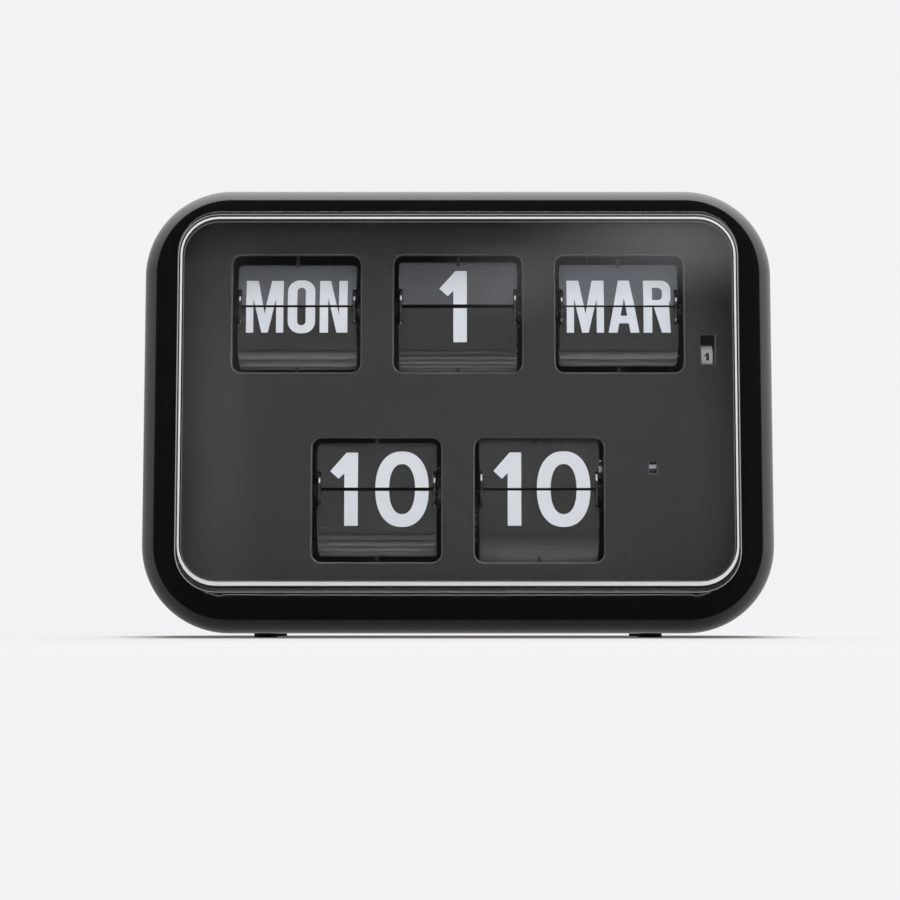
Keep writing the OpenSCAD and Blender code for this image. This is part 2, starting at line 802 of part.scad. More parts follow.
motor_gap = 1.2;
lug_w = 8;
lug_t = 3;
module motor_unit() {
    color([0.25, 0.25, 0.27])
    difference() {
        union() {
            box(motor_x, motor_x + motor_l, dial_back_y + motor_gap,
                dial_back_y + motor_gap + motor_d, motor_z - motor_h/2, motor_z + motor_h/2);
            for (sz = [-1, 1]) {
                translate([motor_x + motor_l/2, 0, motor_z + sz*(motor_h/2 + lug_t)])
                    box(-lug_w/2, lug_w/2, dial_back_y, dial_back_y + lug_t,
                        -lug_t - 0.2, lug_t + 0.2);
            }
        }
        rod_x(motor_x - 1, motor_x + motor_l + 1, motor_y, motor_z, motor_shaft_r + run_gap);
    }
}

shaft_start = module_x[MINUTE] + gear_x;
module motor_shaft() {
    color("silver")
    union() {
        rod_x(shaft_start, indicator_x + indicator_l/2, motor_y, motor_z, motor_shaft_r);
        gear(shaft_start, shaft_start + gear_t, motor_y, motor_z, pinion_teeth, gear_m,
            mesh_start(minute_gear_start, minute_gear_start, minute_teeth, pinion_teeth));
    }
}

module running_indicator() {
    color([0.1, 0.1, 0.1])
    difference() {
        rod_x(indicator_x - indicator_l/2, indicator_x + indicator_l/2, motor_y, motor_z,
            motor_y - dial_back_y - 0.3);
        rod_x(indicator_x - indicator_l, indicator_x + indicator_l, motor_y, motor_z,
            motor_shaft_r);
    }
}

module leap_year_wheel() {
    color([0.9, 0.87, 0.78])
    difference() {
        rod_x(leap_x - leap_wheel_w/2, leap_x + leap_wheel_w/2, leap_y, leap_z - leap_drop,
            leap_wheel_r);
        rod_x(leap_x - leap_wheel_w, leap_x + leap_wheel_w, leap_y, leap_z - leap_drop,
            axle_r + run_gap);
    }
}

leap_arm_t = 1.2;
leap_arm_x = leap_wheel_w/2 + 0.4;
leap_arm_h = 8;
leap_back_y = leap_y + leap_wheel_r + 0.5;
module leap_year_bracket() {
    z = leap_z - leap_drop;
    color([0.55, 0.56, 0.58])
    difference() {
        union() {
            for (sx = [-1, 1]) {
                translate([leap_x + sx*(leap_arm_x + leap_arm_t/2), 0, z])
                    box(-leap_arm_t/2, leap_arm_t/2, dial_back_y, leap_back_y + leap_arm_t,
                        -leap_arm_h/2, leap_arm_h/2);
            }
            box(leap_x - leap_arm_x - leap_arm_t/2, leap_x + leap_arm_x + leap_arm_t/2,
                leap_back_y, leap_back_y + leap_arm_t, z - leap_arm_h/2, z + leap_arm_h/2);
        }
        rod_x(leap_x - leap_wheel_w, leap_x + leap_wheel_w, leap_y, z, axle_r + axle_fit);
    }
}

module leap_year_axle() {
    color("silver")
    rod_x(leap_x - leap_arm_x - leap_arm_t, leap_x + leap_arm_x + leap_arm_t, leap_y,
        leap_z - leap_drop, axle_r);
}

// Calendar rockers ------------------------------------------------------

// Flat arm in the YZ plane from the rocker shaft to a point above or below it
module rocker_arm(x, tip_y, tip_z) {
    run_y = tip_y - rocker_y;
    run_z = tip_z - rocker_z;
    reach = sqrt(run_y*run_y + run_z*run_z);
    translate([x - arm_t/2, rocker_y, rocker_z]) rotate([atan2(run_z, run_y), 0, 0])
        box(0, arm_t, 0, reach, -arm_w/2, arm_w/2);
}

cam_plane = gear_x + gear_t/2;
rocker_gap = 0.6;
bracket_t = 2;
rocker_start = module_x[HOUR] - cam_plane - 5;
rocker_end = module_x[DATE] - cam_plane + 4;
month_start = module_x[DATE] + cam_plane - 2;
month_end = module_x[MONTH] - cam_plane + 2;

module calendar_rocker() {
    color([0.85, 0.82, 0.6])
    union() {
        rod_x(rocker_start, rocker_end, rocker_y, rocker_z, rocker_r);
        rocker_arm(module_x[HOUR] - cam_plane, axis_y(HOUR) + 1,
            time_split_z + cam_r + rocker_gap);
        rocker_arm(module_x[DAY] + cam_plane, axis_y(DAY) + 1,
            calendar_split_z - drum_gear_r(DATE) - gear_m - rocker_gap);
        rocker_arm(module_x[DATE] - cam_plane, axis_y(DATE) + 1,
            calendar_split_z - cam_r - rocker_gap);
    }
}

module month_rocker() {
    color([0.85, 0.82, 0.6])
    union() {
        rod_x(month_start, month_end, rocker_y, rocker_z, rocker_r);
        rocker_arm(module_x[DATE] + cam_plane, axis_y(DATE) + 1,
            calendar_split_z - drum_gear_r(DATE) - gear_m - rocker_gap);
        rocker_arm(module_x[MONTH] - cam_plane, axis_y(MONTH) + 1,
            calendar_split_z - cam_r - rocker_gap);
    }
}

bracket_reach = 4;
bracket_foot_w = 5;
bracket_foot_t = 1.2;
bracket_places = [
    rocker_start + 1, rocker_end - 9, month_start + 5, month_end - 7
];
module rocker_brackets() {
    color([0.55, 0.56, 0.58])
    for (x = bracket_places) {
        difference() {
            union() {
                box(x, x + bracket_t, dial_back_y, rocker_y + bracket_reach,
                    rocker_z - bracket_reach, rocker_z + bracket_reach);
                box(x, x + bracket_foot_w, dial_back_y, dial_back_y + bracket_foot_t,
                    rocker_z - bracket_reach, rocker_z + bracket_reach);
            }
            rod_x(x - 1, x + bracket_t + 1, rocker_y, rocker_z, rocker_r + run_gap);
        }
    }
}

// Setting wheels --------------------------------------------------------

wheel_web_t = 2;
wheel_rim_t = 4;
wheel_hub_r = 5;
knurl_r = 1;
knurl_out = 0.45;
module set_wheel(m) {
    start = m == MINUTE ? minute_gear_start : 0;
    teeth = set_teeth(m);
    r = thumb_r(m);
    color([0.12, 0.12, 0.13])
    translate([module_x[m], set_y(m), module_z[m]])
    difference() {
        union() {
            gear(gear_x, gear_x + gear_t, 0, 0, teeth, gear_m,
                mesh_start(0, start, drum_teeth(m), teeth));
            rod_x(thumb_x, thumb_x + thumb_w, 0, 0, r);
        }
        rod_x(gear_x - 1, thumb_x + thumb_w + 1, 0, 0, wheel_axle_r + run_gap);
        // Weight-saving face groove
        difference() {
            rod_x(thumb_x + wheel_web_t, thumb_x + thumb_w + 1, 0, 0, r - wheel_rim_t);
            rod_x(thumb_x + wheel_web_t - 1, thumb_x + thumb_w + 2, 0, 0, wheel_hub_r);
        }
        for (i = [0 : knurls - 1]) {
            rotate([i*360/knurls, 0, 0])
                rod_x(thumb_x - 1, thumb_x + thumb_w + 1, r + knurl_out, 0, knurl_r, $fn = 16);
        }
    }
}

wheel_ear_x = thumb_x + thumb_w + 0.5;
wheel_ear_t = 2.5;
wheel_ear_r = 4;
pocket_margin = 4;
pocket_under = 2;
module set_wheel_axles() {
    color("silver")
    for (m = set_modules) {
        rod_x(module_x[m] + gear_x, module_x[m] + wheel_ear_x + wheel_ear_t, set_y(m), module_z[m],
            wheel_axle_r);
    }
}

// Finger pocket round the rim of a setting wheel, pushed in from the rear face
pocket_mid_x = (gear_x + thumb_x + thumb_w)/2 + 1;
function slot_half(m) =
    sqrt(pow(thumb_r(m), 2) - pow(pocket_floor_y - pocket_under - set_y(m), 2)) + 1;
function pocket_half(m) = slot_half(m) + pocket_margin;
module pocket_block(m) {
    translate([module_x[m] + pocket_mid_x, 0, module_z[m]])
        box(-pocket_w/2 - pocket_wall, pocket_w/2 + pocket_wall, pocket_floor_y - pocket_under,
            cover_y + 1, -pocket_half(m) - pocket_wall, pocket_half(m) + pocket_wall);
    translate([module_x[m], 0, module_z[m]]) {
        rod_x(wheel_ear_x, wheel_ear_x + wheel_ear_t, set_y(m), 0, wheel_ear_r);
        box(wheel_ear_x, wheel_ear_x + wheel_ear_t, set_y(m), pocket_floor_y - 1,
            -wheel_ear_r, wheel_ear_r);
    }
}

module pocket_cut(m) {
    translate([module_x[m] + pocket_mid_x, 0, module_z[m]])
        box(-pocket_w/2, pocket_w/2, pocket_floor_y, rear_y + 1, -pocket_half(m), pocket_half(m));
    translate([module_x[m], 0, module_z[m]]) {
        box(gear_x - 0.6, thumb_x + thumb_w + 0.4, pocket_floor_y - 3, rear_y + 1,
            -slot_half(m), slot_half(m));
        rod_x(wheel_ear_x - 0.01, wheel_ear_x + wheel_ear_t + 1, set_y(m), 0, wheel_axle_r + 0.02);
    }
}

// Rear cover ------------------------------------------------------------

cover_w = case_w - 2*case_wall - 0.6;
cover_h = case_h - 2*case_wall - 0.6;
cover_r = case_r - case_wall - 0.3;
keyhole_z = mid_z + case_h/2 - 24;
keyhole_slot = 8;
cup_d = 4.5;
cup_wall = 1.2;
cup_gap = 0.6;
door_w = bay_l + 2*door_lap;
door_h = bay_h + 2*door_lap;
door_low_z = bay_z - door_h/2;
door_y = rear_y - door_t;
door_axis_y = rear_y - door_t/2;

// Closed cup behind a keyhole, with room for the screw's head to slide up, made larger by grow
module keyhole_cup(grow, y1) {
    reach = keyhole_r + cup_gap + grow;
    box(-reach, reach, cover_y - cup_d - grow, y1, keyhole_z - reach, keyhole_z + keyhole_slot + reach);
}

module rear_cover() {
    color([0.07, 0.07, 0.075])
    difference() {
        union() {
            translate([0, 0, mid_z]) upright(cover_y, rear_y) rounded_rect(cover_w, cover_h, cover_r);
            for (m = set_modules) {
                pocket_block(m);
            }
            for (sx = [-1, 1]) {
                translate([sx*keyhole_pitch/2, 0, 0]) keyhole_cup(cup_wall, cover_y + 1);
            }
            translate([bay_x, 0, bay_z])
                box(-bay_l/2 - bay_wall, bay_l/2 + bay_wall, bay_front_y - bay_wall, cover_y + 1,
                    -bay_h/2 - bay_wall, bay_h/2 + bay_wall);
            translate([bay_x, 0, bay_z])
                box(-door_w/2 - door_frame, door_w/2 + door_frame, cover_y - 2, cover_y + 1,
                    -door_h/2 - door_frame, door_h/2 + door_frame);
        }
        for (m = set_modules) {
            pocket_cut(m);
        }
        translate([bay_x, 0, bay_z]) {
            box(-bay_l/2, bay_l/2, bay_front_y, rear_y + 1, -bay_h/2, bay_h/2);
            box(-door_w/2 - door_gap, door_w/2 + door_gap, door_y - door_gap, rear_y + 1,
                -door_h/2 - door_gap, door_h/2 + door_gap);
        }
        rod_x(bay_x - door_w/2 - pin_l - 0.2, bay_x + door_w/2 + pin_l + 0.2, door_axis_y,
            door_low_z + door_t/2, hinge_pin_r + run_gap);
        for (sx = [-1, 1]) {
            translate([sx*keyhole_pitch/2, 0, 0]) keyhole_cup(0, cover_y);
            rod_y(sx*keyhole_pitch/2, keyhole_z, cover_y - 1, rear_y + 1, keyhole_r);
            rod_y(sx*keyhole_pitch/2, keyhole_z + keyhole_slot, cover_y - 1, rear_y + 1, keyhole_r/2);
            translate([sx*keyhole_pitch/2, 0, keyhole_z])
                box(-keyhole_r/2, keyhole_r/2, cover_y - 1, rear_y + 1, 0, keyhole_slot);
            for (sz = [-1, 1]) {
                rod_y(sx*post_x, mid_z + sz*post_z, cover_y - 1, rear_y + 1, screw_r + 0.4);
                rod_y(sx*post_x, mid_z + sz*post_z, rear_y - head_sink, rear_y + 1, screw_head_r + 0.3);
            }
        }
    }
}

module case_screws() {
    color("dimgray")
    for (sx = [-1, 1], sz = [-1, 1]) {
        translate([sx*post_x, 0, mid_z + sz*post_z])
            screw(rear_y - head_sink, case_screw_l, screw_r - screw_ease, screw_head_r, head_sink - 0.2);
    }
}

// Battery ---------------------------------------------------------------

cell_gap = 0.6;
cell_y = bay_front_y + cell_gap + cell_d/2;
contact_t = 0.6;
contact_w = 18;
contact_h = 20;
nub_l = 1.2;
nub_r = 4.7;
spring_plate_t = 0.5;
spring_big_r = 6.5;
spring_small_r = 4;
spring_ease = 0.6;
spring_l = bay_l - cell_l - contact_t - nub_l - spring_ease;
cell_x0 = bay_x - bay_l/2 + spring_ease + spring_l;

module battery() {
    color([0.25, 0.3, 0.36])
    union() {
        rod_x(cell_x0, cell_x0 + cell_l, cell_y, bay_z, cell_d/2);
        rod_x(cell_x0 + cell_l, cell_x0 + cell_l + nub_l, cell_y, bay_z, nub_r);
    }
}

module battery_contact() {
    x = bay_x + bay_l/2 - contact_t;
    color("silver")
    box(x, x + contact_t, cell_y - contact_w/2, cell_y + contact_w/2,
        bay_z - contact_h/2, bay_z + contact_h/2);
}

// Contact plate with two raised rings that stand for the pressed spring
module battery_spring() {
    x = bay_x - bay_l/2;
    color("silver")
    union() {
        box(x, x + spring_plate_t, cell_y - contact_w/2, cell_y + contact_w/2,
            bay_z - contact_h/2, bay_z + contact_h/2);
        rod_x(x, x + spring_l/2, cell_y, bay_z, spring_big_r);
        rod_x(x, x + spring_l + spring_plate_t, cell_y, bay_z, spring_small_r);
    }
}

grip_w = 20;
grip_h = 3;
grip_d = 1.2;
module battery_door() {
    color([0.08, 0.08, 0.085])
    difference() {
        union() {
            translate([bay_x, 0, 0])
                box(-door_w/2, door_w/2, door_y, rear_y, door_low_z + door_t/2, door_low_z + door_h);
            rod_x(bay_x - door_w/2, bay_x + door_w/2, door_axis_y, door_low_z + door_t/2, door_t/2);
            rod_x(bay_x - door_w/2 - pin_l, bay_x + door_w/2 + pin_l, door_axis_y,
                door_low_z + door_t/2, hinge_pin_r);
        }
        // Finger groove along the top edge
        translate([bay_x, 0, 0])
            box(-grip_w/2, grip_w/2, rear_y - grip_d, rear_y + 1, door_low_z + door_h - grip_h,
                door_low_z + door_h + 1);
    }
}

// Electronics -----------------------------------------------------------

chip_place = [12, 16];
chip_w = 8;
chip_h = 10;
chip_t = 2;
module control_board() {
    color([0.1, 0.35, 0.2])
    difference() {
        union() {
            box(board_x[0], board_x[1], standoff_y, standoff_y + board_t, board_z[0], board_z[1]);
            translate([board_x[0] + chip_place[0], 0, board_z[0] + chip_place[1]])
                box(0, chip_w, standoff_y + board_t, standoff_y + board_t + chip_t, 0, chip_h);
        }
        board_corners() rod_y(0, 0, standoff_y - 1, standoff_y + board_t + 1, small_screw_r + 0.2);
    }
}

crystal_place = [24, 24];
crystal_l = 7;
crystal_r = 1.5;
module quartz_crystal() {
    color("silver")
    rod_x(board_x[0] + crystal_place[0], board_x[0] + crystal_place[0] + crystal_l,
        standoff_y + board_t + crystal_r, board_z[0] + crystal_place[1], crystal_r);
}

// Round wire through a list of points
wire_r = 0.7;
module wire(points) {
    for (i = [1 : len(points) - 1]) {
        run = points[i] - points[i - 1];
        translate(points[i - 1])
            rotate([0, acos(run[2]/norm(run)), atan2(run[1], run[0])])
                cylinder(r = wire_r, h = norm(run), $fn = 24);
    }
    for (i = [1 : len(points) - 2]) {
        translate(points[i]) sphere(wire_r, $fn = 24);
    }
}

// Two battery leads along the bottom of the case, and one lead to the motor
wire_pitch = 2.4;
wire_low_z = foot_h + case_wall + 3;
module wiring() {
    bay_face_y = bay_front_y - bay_wall;
    board_y = standoff_y + board_t/2;
    color([0.5, 0.08, 0.06])
    for (i = [0, 1]) {
        bay_side_x = bay_x + bay_l/2 - 6 - i*4*wire_pitch;
        low_y = bay_face_y - 6 - i*wire_pitch;
        low_z = wire_low_z + i*wire_pitch;
        board_side_x = board_x[0] + 8 + i*wire_pitch;
        wire([
            [bay_side_x, bay_face_y, bay_z], [bay_side_x, low_y, bay_z],
            [bay_side_x, low_y, low_z], [board_side_x, low_y, low_z],
            [board_side_x, board_y, low_z], [board_side_x, board_y, board_z[0]]
        ]);
    }
    color([0.1, 0.1, 0.1])
    wire([
        [board_x[0], board_y, board_z[1] - 12],
        [motor_x + motor_l/2, board_y, board_z[1] - 12],
        [motor_x + motor_l/2, board_y, motor_z - motor_h/2]
    ]);
}

module board_screws() {
    color("silver")
    board_corners() screw(standoff_y + board_t, 5, small_screw_r, small_head_r, 1);
}

front_case();
rear_cover();
lens();
lens_seal();
dial_plate();
rubber_feet();
case_screws();
dial_screws();
module_screws();
display_frame(DAY);  // day_frame
display_frame(DATE);  // date_frame
display_frame(MONTH);  // month_frame
display_frame(HOUR);  // hour_frame
display_frame(MINUTE);  // minute_frame
calendar_drum(DAY);  // day_drum
calendar_drum(DATE);  // date_drum
calendar_drum(MONTH);  // month_drum
hour_drum();
minute_drum();
leaf_pack(DAY);  // day_leaf_pack
leaf_pack(DATE);  // date_leaf_pack
leaf_pack(MONTH);  // month_leaf_pack
leaf_pack(HOUR);  // hour_leaf_pack
leaf_pack(MINUTE);  // minute_leaf_pack
front_leaf(DAY);  // day_front_leaf
front_leaf(DATE);  // date_front_leaf
front_leaf(MONTH);  // month_front_leaf
front_leaf(HOUR);  // hour_front_leaf
front_leaf(MINUTE);  // minute_front_leaf
drum_axles();
retaining_fingers();
hour_train_gear();
motor_unit();
motor_shaft();
running_indicator();
leap_year_wheel();
leap_year_bracket();
leap_year_axle();
calendar_rocker();
month_rocker();
rocker_brackets();
set_wheel(MINUTE);  // time_set_wheel
set_wheel(DAY);  // day_set_wheel
set_wheel(DATE);  // date_set_wheel
set_wheel(MONTH);  // month_set_wheel
set_wheel_axles();
control_board();
quartz_crystal();
board_screws();
wiring();
battery();
battery_spring();
battery_contact();
battery_door();
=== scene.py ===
import json
import math

import bmesh
import bpy
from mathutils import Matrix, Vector
from mathutils.geometry import tessellate_polygon


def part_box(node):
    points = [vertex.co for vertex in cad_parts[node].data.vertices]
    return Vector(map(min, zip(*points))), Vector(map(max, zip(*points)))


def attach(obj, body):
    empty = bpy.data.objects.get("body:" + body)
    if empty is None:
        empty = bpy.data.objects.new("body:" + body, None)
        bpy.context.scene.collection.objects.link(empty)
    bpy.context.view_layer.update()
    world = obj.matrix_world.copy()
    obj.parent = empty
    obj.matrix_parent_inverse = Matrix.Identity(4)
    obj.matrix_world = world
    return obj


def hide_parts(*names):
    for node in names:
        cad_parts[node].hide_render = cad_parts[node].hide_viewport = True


# Looks of the flip-leaf desk and wall clock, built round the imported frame. The front faces -Y and
# the floor is at Z 0. Lengths are metres, and MM turns a size in millimetres into metres.

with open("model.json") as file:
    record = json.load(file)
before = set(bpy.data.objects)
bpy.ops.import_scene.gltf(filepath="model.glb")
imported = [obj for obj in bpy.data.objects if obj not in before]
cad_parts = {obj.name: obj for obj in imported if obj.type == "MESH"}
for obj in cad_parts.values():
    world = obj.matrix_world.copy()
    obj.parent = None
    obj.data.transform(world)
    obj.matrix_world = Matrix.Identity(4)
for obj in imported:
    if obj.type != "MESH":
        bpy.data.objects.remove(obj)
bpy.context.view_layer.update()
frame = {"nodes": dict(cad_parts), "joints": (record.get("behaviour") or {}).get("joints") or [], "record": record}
nodes = frame["nodes"]
joints = {joint["name"]: joint for joint in frame["joints"]}

MM = 0.001
MODULES = ("day", "date", "month", "hour", "minute")
CASE_BODY = "clock_case"


# Camera, world and lights -----------------------------------------------------------------

# The photo is IMAGE_PX wide, and the vertical plane through the camera falls on MIDDLE_PX
IMAGE_PX = 900
FOCAL_PX = 1868
MIDDLE_PX = 458
SENSOR_MM = 36
CAMERA_PLACE = (0, -0.94306, 0.01274)
CAMERA_PITCH = 4.94
BACKDROP = (0.89, 0.89, 0.9, 1)


def build_camera():
    """The camera of the photo: low in front, and tilted up a little."""
    data = bpy.data.cameras.new("camera")
    data.sensor_width = SENSOR_MM
    data.lens = SENSOR_MM * FOCAL_PX / IMAGE_PX
    data.shift_x = (IMAGE_PX / 2 - MIDDLE_PX) / IMAGE_PX
    data.clip_start = 0.01
    camera = bpy.data.objects.new("camera", data)
    camera.location = CAMERA_PLACE
    camera.rotation_euler = (math.radians(90 + CAMERA_PITCH), 0, 0)
    bpy.context.scene.collection.objects.link(camera)
    bpy.context.scene.camera = camera


class Tree:
    """Short calls for the nodes of one material or world."""

    def __init__(self, owner):
        owner.use_nodes = True
        self.tree = owner.node_tree
        self.nodes = self.tree.nodes

    def add(self, kind, **settings):
        node = self.nodes.new(kind)
        for name, value in settings.items():
            setattr(node, name, value)
        return node

    def join(self, source, target):
        self.tree.links.new(source, target)

    def feed(self, target, value):
        """Sets a socket to a plain value, or links another socket to it."""
        if isinstance(value, bpy.types.NodeSocket):
            self.join(value, target)
        else:
            target.default_value = value

    def math(self, operation, *values):
        node = self.add("ShaderNodeMath", operation=operation)
        for socket, value in zip(node.inputs, values):
            self.feed(socket, value)
        return node.outputs[0]

    def ranged(self, value, low, high, to_low, to_high, smooth=True):
        node = self.add("ShaderNodeMapRange")
        node.interpolation_type = "SMOOTHSTEP" if smooth else "LINEAR"
        for socket, each in zip(node.inputs, (value, low, high, to_low, to_high)):
            self.feed(socket, each)
        return node.outputs[0]

    def mix_color(self, share, first, second):
        node = self.add("ShaderNodeMix", data_type="RGBA")
        self.feed(node.inputs["Factor"], share)
        self.feed(node.inputs[6], first)
        self.feed(node.inputs[7], second)
        return node.outputs[2]

    def mix_shader(self, share, first, second):
        node = self.add("ShaderNodeMixShader")
        self.feed(node.inputs[0], share)
        self.join(first, node.inputs[1])
        self.join(second, node.inputs[2])
        return node.outputs[0]

    def noise(self, size, detail=3.0, stretch=(1, 1, 1)):
        """Noise fixed to the piece, with features of about size metres."""
        place = self.add("ShaderNodeTexCoord").outputs["Object"]
        if stretch != (1, 1, 1):
            mapping = self.add("ShaderNodeMapping")
            mapping.inputs["Scale"].default_value = stretch
            self.join(place, mapping.inputs["Vector"])
            place = mapping.outputs[0]
        node = self.add("ShaderNodeTexNoise")
        self.join(place, node.inputs["Vector"])
        node.inputs["Scale"].default_value = 1 / size
        node.inputs["Detail"].default_value = detail
        return node.outputs["Fac"]


# The pale room behind the object: where it starts in the y of a direction, how far up that edge
# bends forward, and how the brightness changes with depth, height, side and below the horizon
BEHIND_FROM, BEHIND_FULL, BEHIND_BEND = 0.02, 0.09, 0.12
PALE_DEPTH, PALE_HEIGHT, PALE_SIDE, PALE_BELOW = -0.6, 1.9, 0.2, 0.7
# The dim room in front, and soft patches in it that the lens mirrors. Each patch has its middle and
# half size across, its middle and half size upwards, and its brightness.
FRONT_GLOW = 0.05
FRONT_LEAST = 0.05
PATCHES = (
    ((0.12, 0.1), (0.2, 0.035), 1.1),
    ((-0.13, 0.03), (0.1, 0.16), 0.25),
    ((0.03, 0.05), (0.18, 0.03), 0.4),
    ((0.14, 0.03), (0.08, 0.12), 0.2),
)
# A thin ring of light round the camera, which draws a line along the rim of the case
RING_Y = 0.857
RING_HALF = 0.012
RING_GLOW = 5.0
ROOM_TINT = (0.97, 0.98, 1, 1)


def build_world():
    """White all round for the camera. The object mirrors a room pale behind it and dim in front."""
    world = bpy.data.worlds.new("studio")
    bpy.context.scene.world = world
    tree = Tree(world)
    seen = tree.nodes["Background"]
    seen.inputs["Color"].default_value = BACKDROP
    seen.inputs["Strength"].default_value = 1
    direction = tree.add("ShaderNodeTexCoord").outputs["Generated"]
    split = tree.add("ShaderNodeSeparateXYZ")
    tree.join(direction, split.inputs[0])
    x, y, z = split.outputs
    up = tree.math("MAXIMUM", z, 0.0)
    down = tree.math("MAXIMUM", tree.math("MULTIPLY", z, -1.0), 0.0)
    high = tree.math("MULTIPLY", up, up)
    past = tree.math("SUBTRACT", y, tree.math("MULTIPLY", high, BEHIND_BEND))
    behind = tree.ranged(past, BEHIND_FROM, BEHIND_FULL, 0, 1)
    pale = tree.math("ADD", tree.math("MULTIPLY", y, PALE_DEPTH), 1.0)
    pale = tree.math("ADD", pale, tree.math("MULTIPLY", high, PALE_HEIGHT))
    pale = tree.math("ADD", pale, tree.math("MULTIPLY", x, PALE_SIDE))
    kept = tree.math("SUBTRACT", 1.0, tree.math("MULTIPLY", down, PALE_BELOW))
    pale = tree.math("MULTIPLY", pale, kept)
    front = tree.math("MAXIMUM", tree.math("MULTIPLY", y, -1.0), FRONT_LEAST)
    across = tree.math("DIVIDE", x, front)
    above = tree.math("DIVIDE", z, front)
    streak = 0.0
    for (middle, half), (level, rise), glow in PATCHES:
        off_side = tree.math("ABSOLUTE", tree.math("SUBTRACT", across, middle))
        off_level = tree.math("ABSOLUTE", tree.math("SUBTRACT", above, level))
        side = tree.ranged(off_side, 0.0, half, 1.0, 0.0)
        height = tree.ranged(off_level, 0.0, rise, glow, 0.0)
        streak = tree.math("ADD", tree.math("MULTIPLY", side, height), streak)
    ring_off = tree.math("ABSOLUTE", tree.math("ADD", y, RING_Y))
    streak = tree.math("ADD", tree.ranged(ring_off, 0.0, RING_HALF, RING_GLOW, 0.0), streak)
    dim = tree.math("ADD", streak, FRONT_GLOW)
    strength = tree.math("ADD", tree.math("MULTIPLY", behind, pale), dim)
    lit = tree.add("ShaderNodeBackground")
    lit.inputs["Color"].default_value = ROOM_TINT
    tree.join(strength, lit.inputs["Strength"])
    rays = tree.add("ShaderNodeLightPath")
    shader = tree.mix_shader(rays.outputs["Is Camera Ray"], lit.outputs[0], seen.outputs[0])
    tree.join(shader, tree.nodes["World Output"].inputs["Surface"])


FLOOR_HALF = 8.0
FLOOR_TONES = (0.58, 0.58, 0.58, 1), (0.6, 0.6, 0.6, 1)
# The soft shadow at the foot of the object: its colour, its reach, and the share of open sky above
# the floor at which it is full and gone
SHADOW_TONE = (0.16, 0.135, 0.12, 1)
SHADOW_REACH = 0.04
SHADOW_FULL, SHADOW_GONE = 0.4, 0.9
# Within this range from the object the floor turns from lit floor into plain backdrop
BLEND_NEAR, BLEND_FAR, NEAR_SHARE = 0.12, 0.6, 0.8


def build_floor():
    """A pale floor that the camera sees in the tone of the backdrop, with a soft shadow."""
    bm = bmesh.new()
    signs = ((-1, -1), (1, -1), (1, 1), (-1, 1))
    bm.faces.new([bm.verts.new((FLOOR_HALF * x, FLOOR_HALF * y, 0)) for x, y in signs])
    material = bpy.data.materials.new("floor")
    tree = Tree(material)
    tree.nodes.remove(tree.nodes["Principled BSDF"])
    diffuse = tree.add("ShaderNodeBsdfDiffuse")
    tree.join(tree.mix_color(tree.noise(0.4), *FLOOR_TONES), diffuse.inputs["Color"])
    glow = tree.add("ShaderNodeEmission")
    shade = tree.add("ShaderNodeAmbientOcclusion", samples=16)
    shade.inputs["Distance"].default_value = SHADOW_REACH
    open_sky = tree.ranged(shade.outputs["AO"], SHADOW_FULL, SHADOW_GONE, 0.0, 1.0, False)
    tree.join(tree.mix_color(open_sky, SHADOW_TONE, BACKDROP), glow.inputs["Color"])
    rays = tree.add("ShaderNodeLightPath").outputs["Is Camera Ray"]
    place = tree.add("ShaderNodeNewGeometry").outputs["Position"]
    length = tree.add("ShaderNodeVectorMath", operation="LENGTH")
    tree.join(place, length.inputs[0])
    far = tree.ranged(length.outputs["Value"], BLEND_NEAR, BLEND_FAR, NEAR_SHARE, 1)
    share = tree.math("MULTIPLY", far, rays)
    shader = tree.mix_shader(share, diffuse.outputs[0], glow.outputs[0])
    tree.join(shader, tree.nodes["Material Output"].inputs["Surface"])
    floor = mesh_object("floor", bm, material)
    floor.visible_glossy = False


# Soft lamps: place, point aimed at, size and power in watts
LAMPS = {
    "key": ((1.35, -1.55, 1.75), (0, 0, 0.1), 1.1, 38),
    "fill": ((-1.6, -1.5, 0.9), (0, 0, 0.1), 1.2, 12),
    "top": ((0.1, 0.5, 1.9), (0, 0, 0.1), 1.2, 26),
}


def build_lamps():
    for name, (place, target, size, power) in LAMPS.items():
        data = bpy.data.lights.new(name, "AREA")
        data.size = size
        data.energy = power
        lamp = bpy.data.objects.new(name, data)
        lamp.location = place
        aim = Vector(target) - Vector(place)
        lamp.rotation_mode = "QUATERNION"
        lamp.rotation_quaternion = aim.to_track_quat("-Z", "Y")
        lamp.visible_glossy = False
        bpy.context.scene.collection.objects.link(lamp)


# Materials --------------------------------------------------------------------------------

# Sizes of the patches in which tone and gloss vary, and the depth of the fine grain
TONE_PATCH, GLOSS_PATCH, GRAIN_DEPTH = 18 * MM, 6 * MM, 0.05 * MM
SMUDGE_SIZE, SMUDGE_FROM, SMUDGE_FULL, SMUDGE_ROUGH = 30 * MM, 0.45, 0.75, 0.02
LENS_IOR = 1.49
# Roughness, its spread, grain, bump and tint of the painted highlight lines of the lens
HIGHLIGHT_LINE_FINISH = (0.3, 0.05, 0.5 * MM, 0.0, 0.05)


